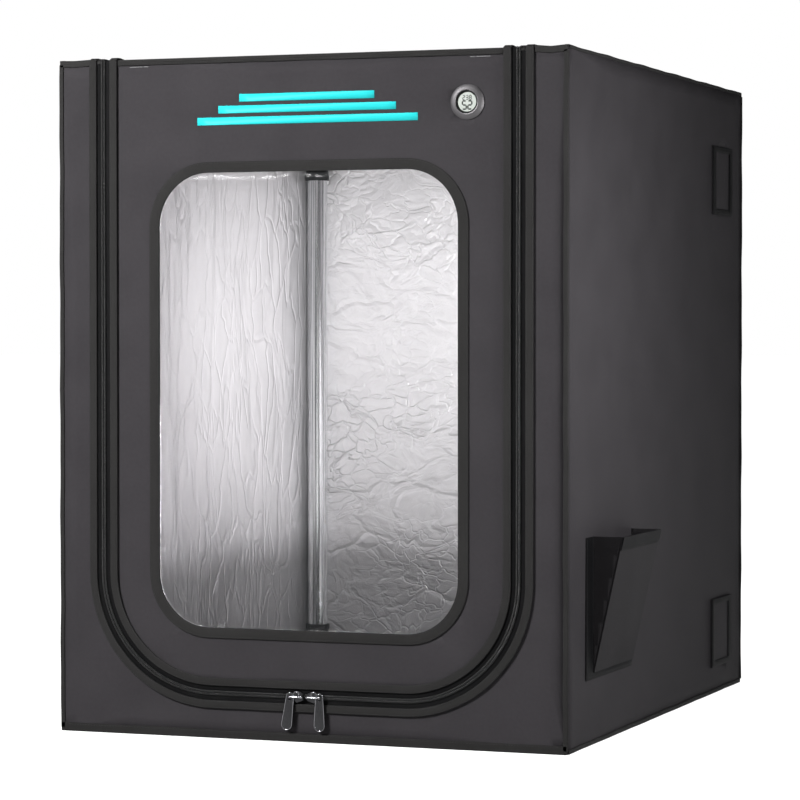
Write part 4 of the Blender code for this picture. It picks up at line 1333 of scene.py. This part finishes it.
def slope_panel(node_low, node_high, z_from, z_to, thick, stand, belly):
    """A closed panel on the pocket's slope, with a soft belly; stand is its gap in front of the slope."""
    bm = bmesh.new()
    layer = bm.loops.layers.uv.verify()
    across, up = 26, max(4, round((z_to - z_from) / 0.005))
    sides = []
    for depth in (stand, stand + thick):
        grid = []
        for j in range(up + 1):
            z = z_from + (z_to - z_from) * j / up
            t = (z - pocket_low.z) / POCKET_TALL
            line = []
            for i in range(across + 1):
                s = i / across
                y = node_low.y + (node_high.y - node_low.y) * s
                swell = belly * sin(pi * s) * sin(pi * t) + 0.00025 * sin(9 * s + 5 * t) * sin(pi * s)
                x = pocket_low.x + LEAN * (z - pocket_low.z) + depth + swell
                line.append(bm.verts.new((x, y, z)))
            grid.append(line)
        sides.append(grid)
    back, front = sides
    for grid, flip in ((front, False), (back, True)):
        for j in range(up):
            for i in range(across):
                quad = [grid[j][i], grid[j][i + 1], grid[j + 1][i + 1], grid[j + 1][i]]
                bm.faces.new(quad[::-1] if flip else quad)
    rim = [(0, i) for i in range(across)] + [(j, across) for j in range(up)] + [
        (up, i) for i in range(across, 0, -1)] + [(j, 0) for j in range(up, 0, -1)]
    for (j, i), (k, m) in zip(rim, rim[1:] + rim[:1]):
        bm.faces.new((back[j][i], back[k][m], front[k][m], front[j][i]))
    bmesh.ops.recalc_face_normals(bm, faces=bm.faces)
    for face in bm.faces:
        for loop in face.loops:
            loop[layer].uv = (loop.vert.co.y, loop.vert.co.z)
    return bm


# The pocket's panel and sides take the darker copy of the wall cloth, which is painted shade.
bm = slope_panel(pocket_low, pocket_high, pocket_low.z, pocket_high.z, CLOTH_THICK, 0.0, 0.0016)
pocket_panel = piece("pocket_panel", bm, "pocket", "cloth_black", CLOTH_PAINTED_SHADE, sharp=60)
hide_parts("pocket_front")
hem_low, hem_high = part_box("pocket_hem")
bm = slope_panel(hem_low, hem_high, hem_low.z, hem_high.z, 0.0008, CLOTH_THICK + 0.0003, 0.0016)
mouth_band = piece("pocket_mouth_band", bm, "pocket", "web_black", WEB, sharp=60)
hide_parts("pocket_hem")
BAND_FACE = CLOTH_THICK + 0.0003 + 0.0008
mouth_rows = []
for z in (hem_low.z + 0.0018, hem_high.z - 0.0018):
    t = (z - pocket_low.z) / POCKET_TALL
    line = []
    for i in range(27):
        s = i / 26
        swell = 0.0016 * sin(pi * s) * sin(pi * t) + 0.00025 * sin(9 * s + 5 * t) * sin(pi * s)
        line.append((pocket_low.x + LEAN * (z - pocket_low.z) + BAND_FACE + swell,
            hem_low.y + (hem_high.y - hem_low.y) * s, z))
    mouth_rows.append(line)
mouth_stitches = row("pocket_mouth_stitches", mouth_rows, STITCH_PITCH, STITCH, "pocket",
    THREAD)

bm = soft_plate("pocket_flange", X, 0.01)
flange = piece("pocket_webbing", bm, "root", "web_black", WEB, sharp=50)
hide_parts("pocket_flange")
flange_low, flange_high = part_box("pocket_flange")
flange_rows = []
for y in (flange_low.y + 0.0025, pocket_low.y - 0.0030):
    flange_rows.append([(flange_high.x, y, flange_low.z + 0.003),
        (flange_high.x, y, flange_high.z - 0.003)])
flange_rows.append([(flange_high.x, flange_low.y + 0.003, flange_low.z + 0.0030),
    (flange_high.x, flange_high.y - 0.003, flange_low.z + 0.0030)])
flange_stitches = row("pocket_webbing_stitches", flange_rows, STITCH_PITCH, STITCH, "root",
    THREAD)

GUSSET_HEM = 0.013
for end, out in (("front", -1), ("rear", 1)):
    node_low, node_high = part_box(f"pocket_gusset_{end}")
    bm = cut_wall(f"pocket_gusset_{end}", Y, 0.006)
    lay_uv(bm, Y)
    lift(bm, Y, out, lambda x, z: ripples(x, z, 81, 0.00008, 0.03, 0.09))
    hem_face = node_low.y if out < 0 else node_high.y
    layer = bm.loops.layers.uv.verify()
    base_x = node_low.x
    top_x = node_high.x - 0.0001
    low_x = top_x - LEAN * GUSSET_HEM
    outline = [(base_x, node_high.z - GUSSET_HEM), (low_x, node_high.z - GUSSET_HEM),
        (top_x, node_high.z), (base_x, node_high.z)]
    faces = []
    for y in (hem_face, hem_face + out * 0.0003):
        faces.append([bm.verts.new((x, y, z)) for x, z in outline])
    made = [bm.faces.new(faces[0]), bm.faces.new(faces[1])]
    for j in range(4):
        made.append(bm.faces.new((faces[0][j], faces[0][(j + 1) % 4], faces[1][(j + 1) % 4],
            faces[1][j])))
    bmesh.ops.recalc_face_normals(bm, faces=bm.faces)
    for face in made:
        for loop in face.loops:
            loop[layer].uv = (loop.vert.co.x, loop.vert.co.z)
    gusset = piece(f"pocket_side_{end}", bm, "root", "cloth_black", CLOTH_PAINTED_SHADE, sharp=60)
    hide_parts(f"pocket_gusset_{end}")
    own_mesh(gusset)
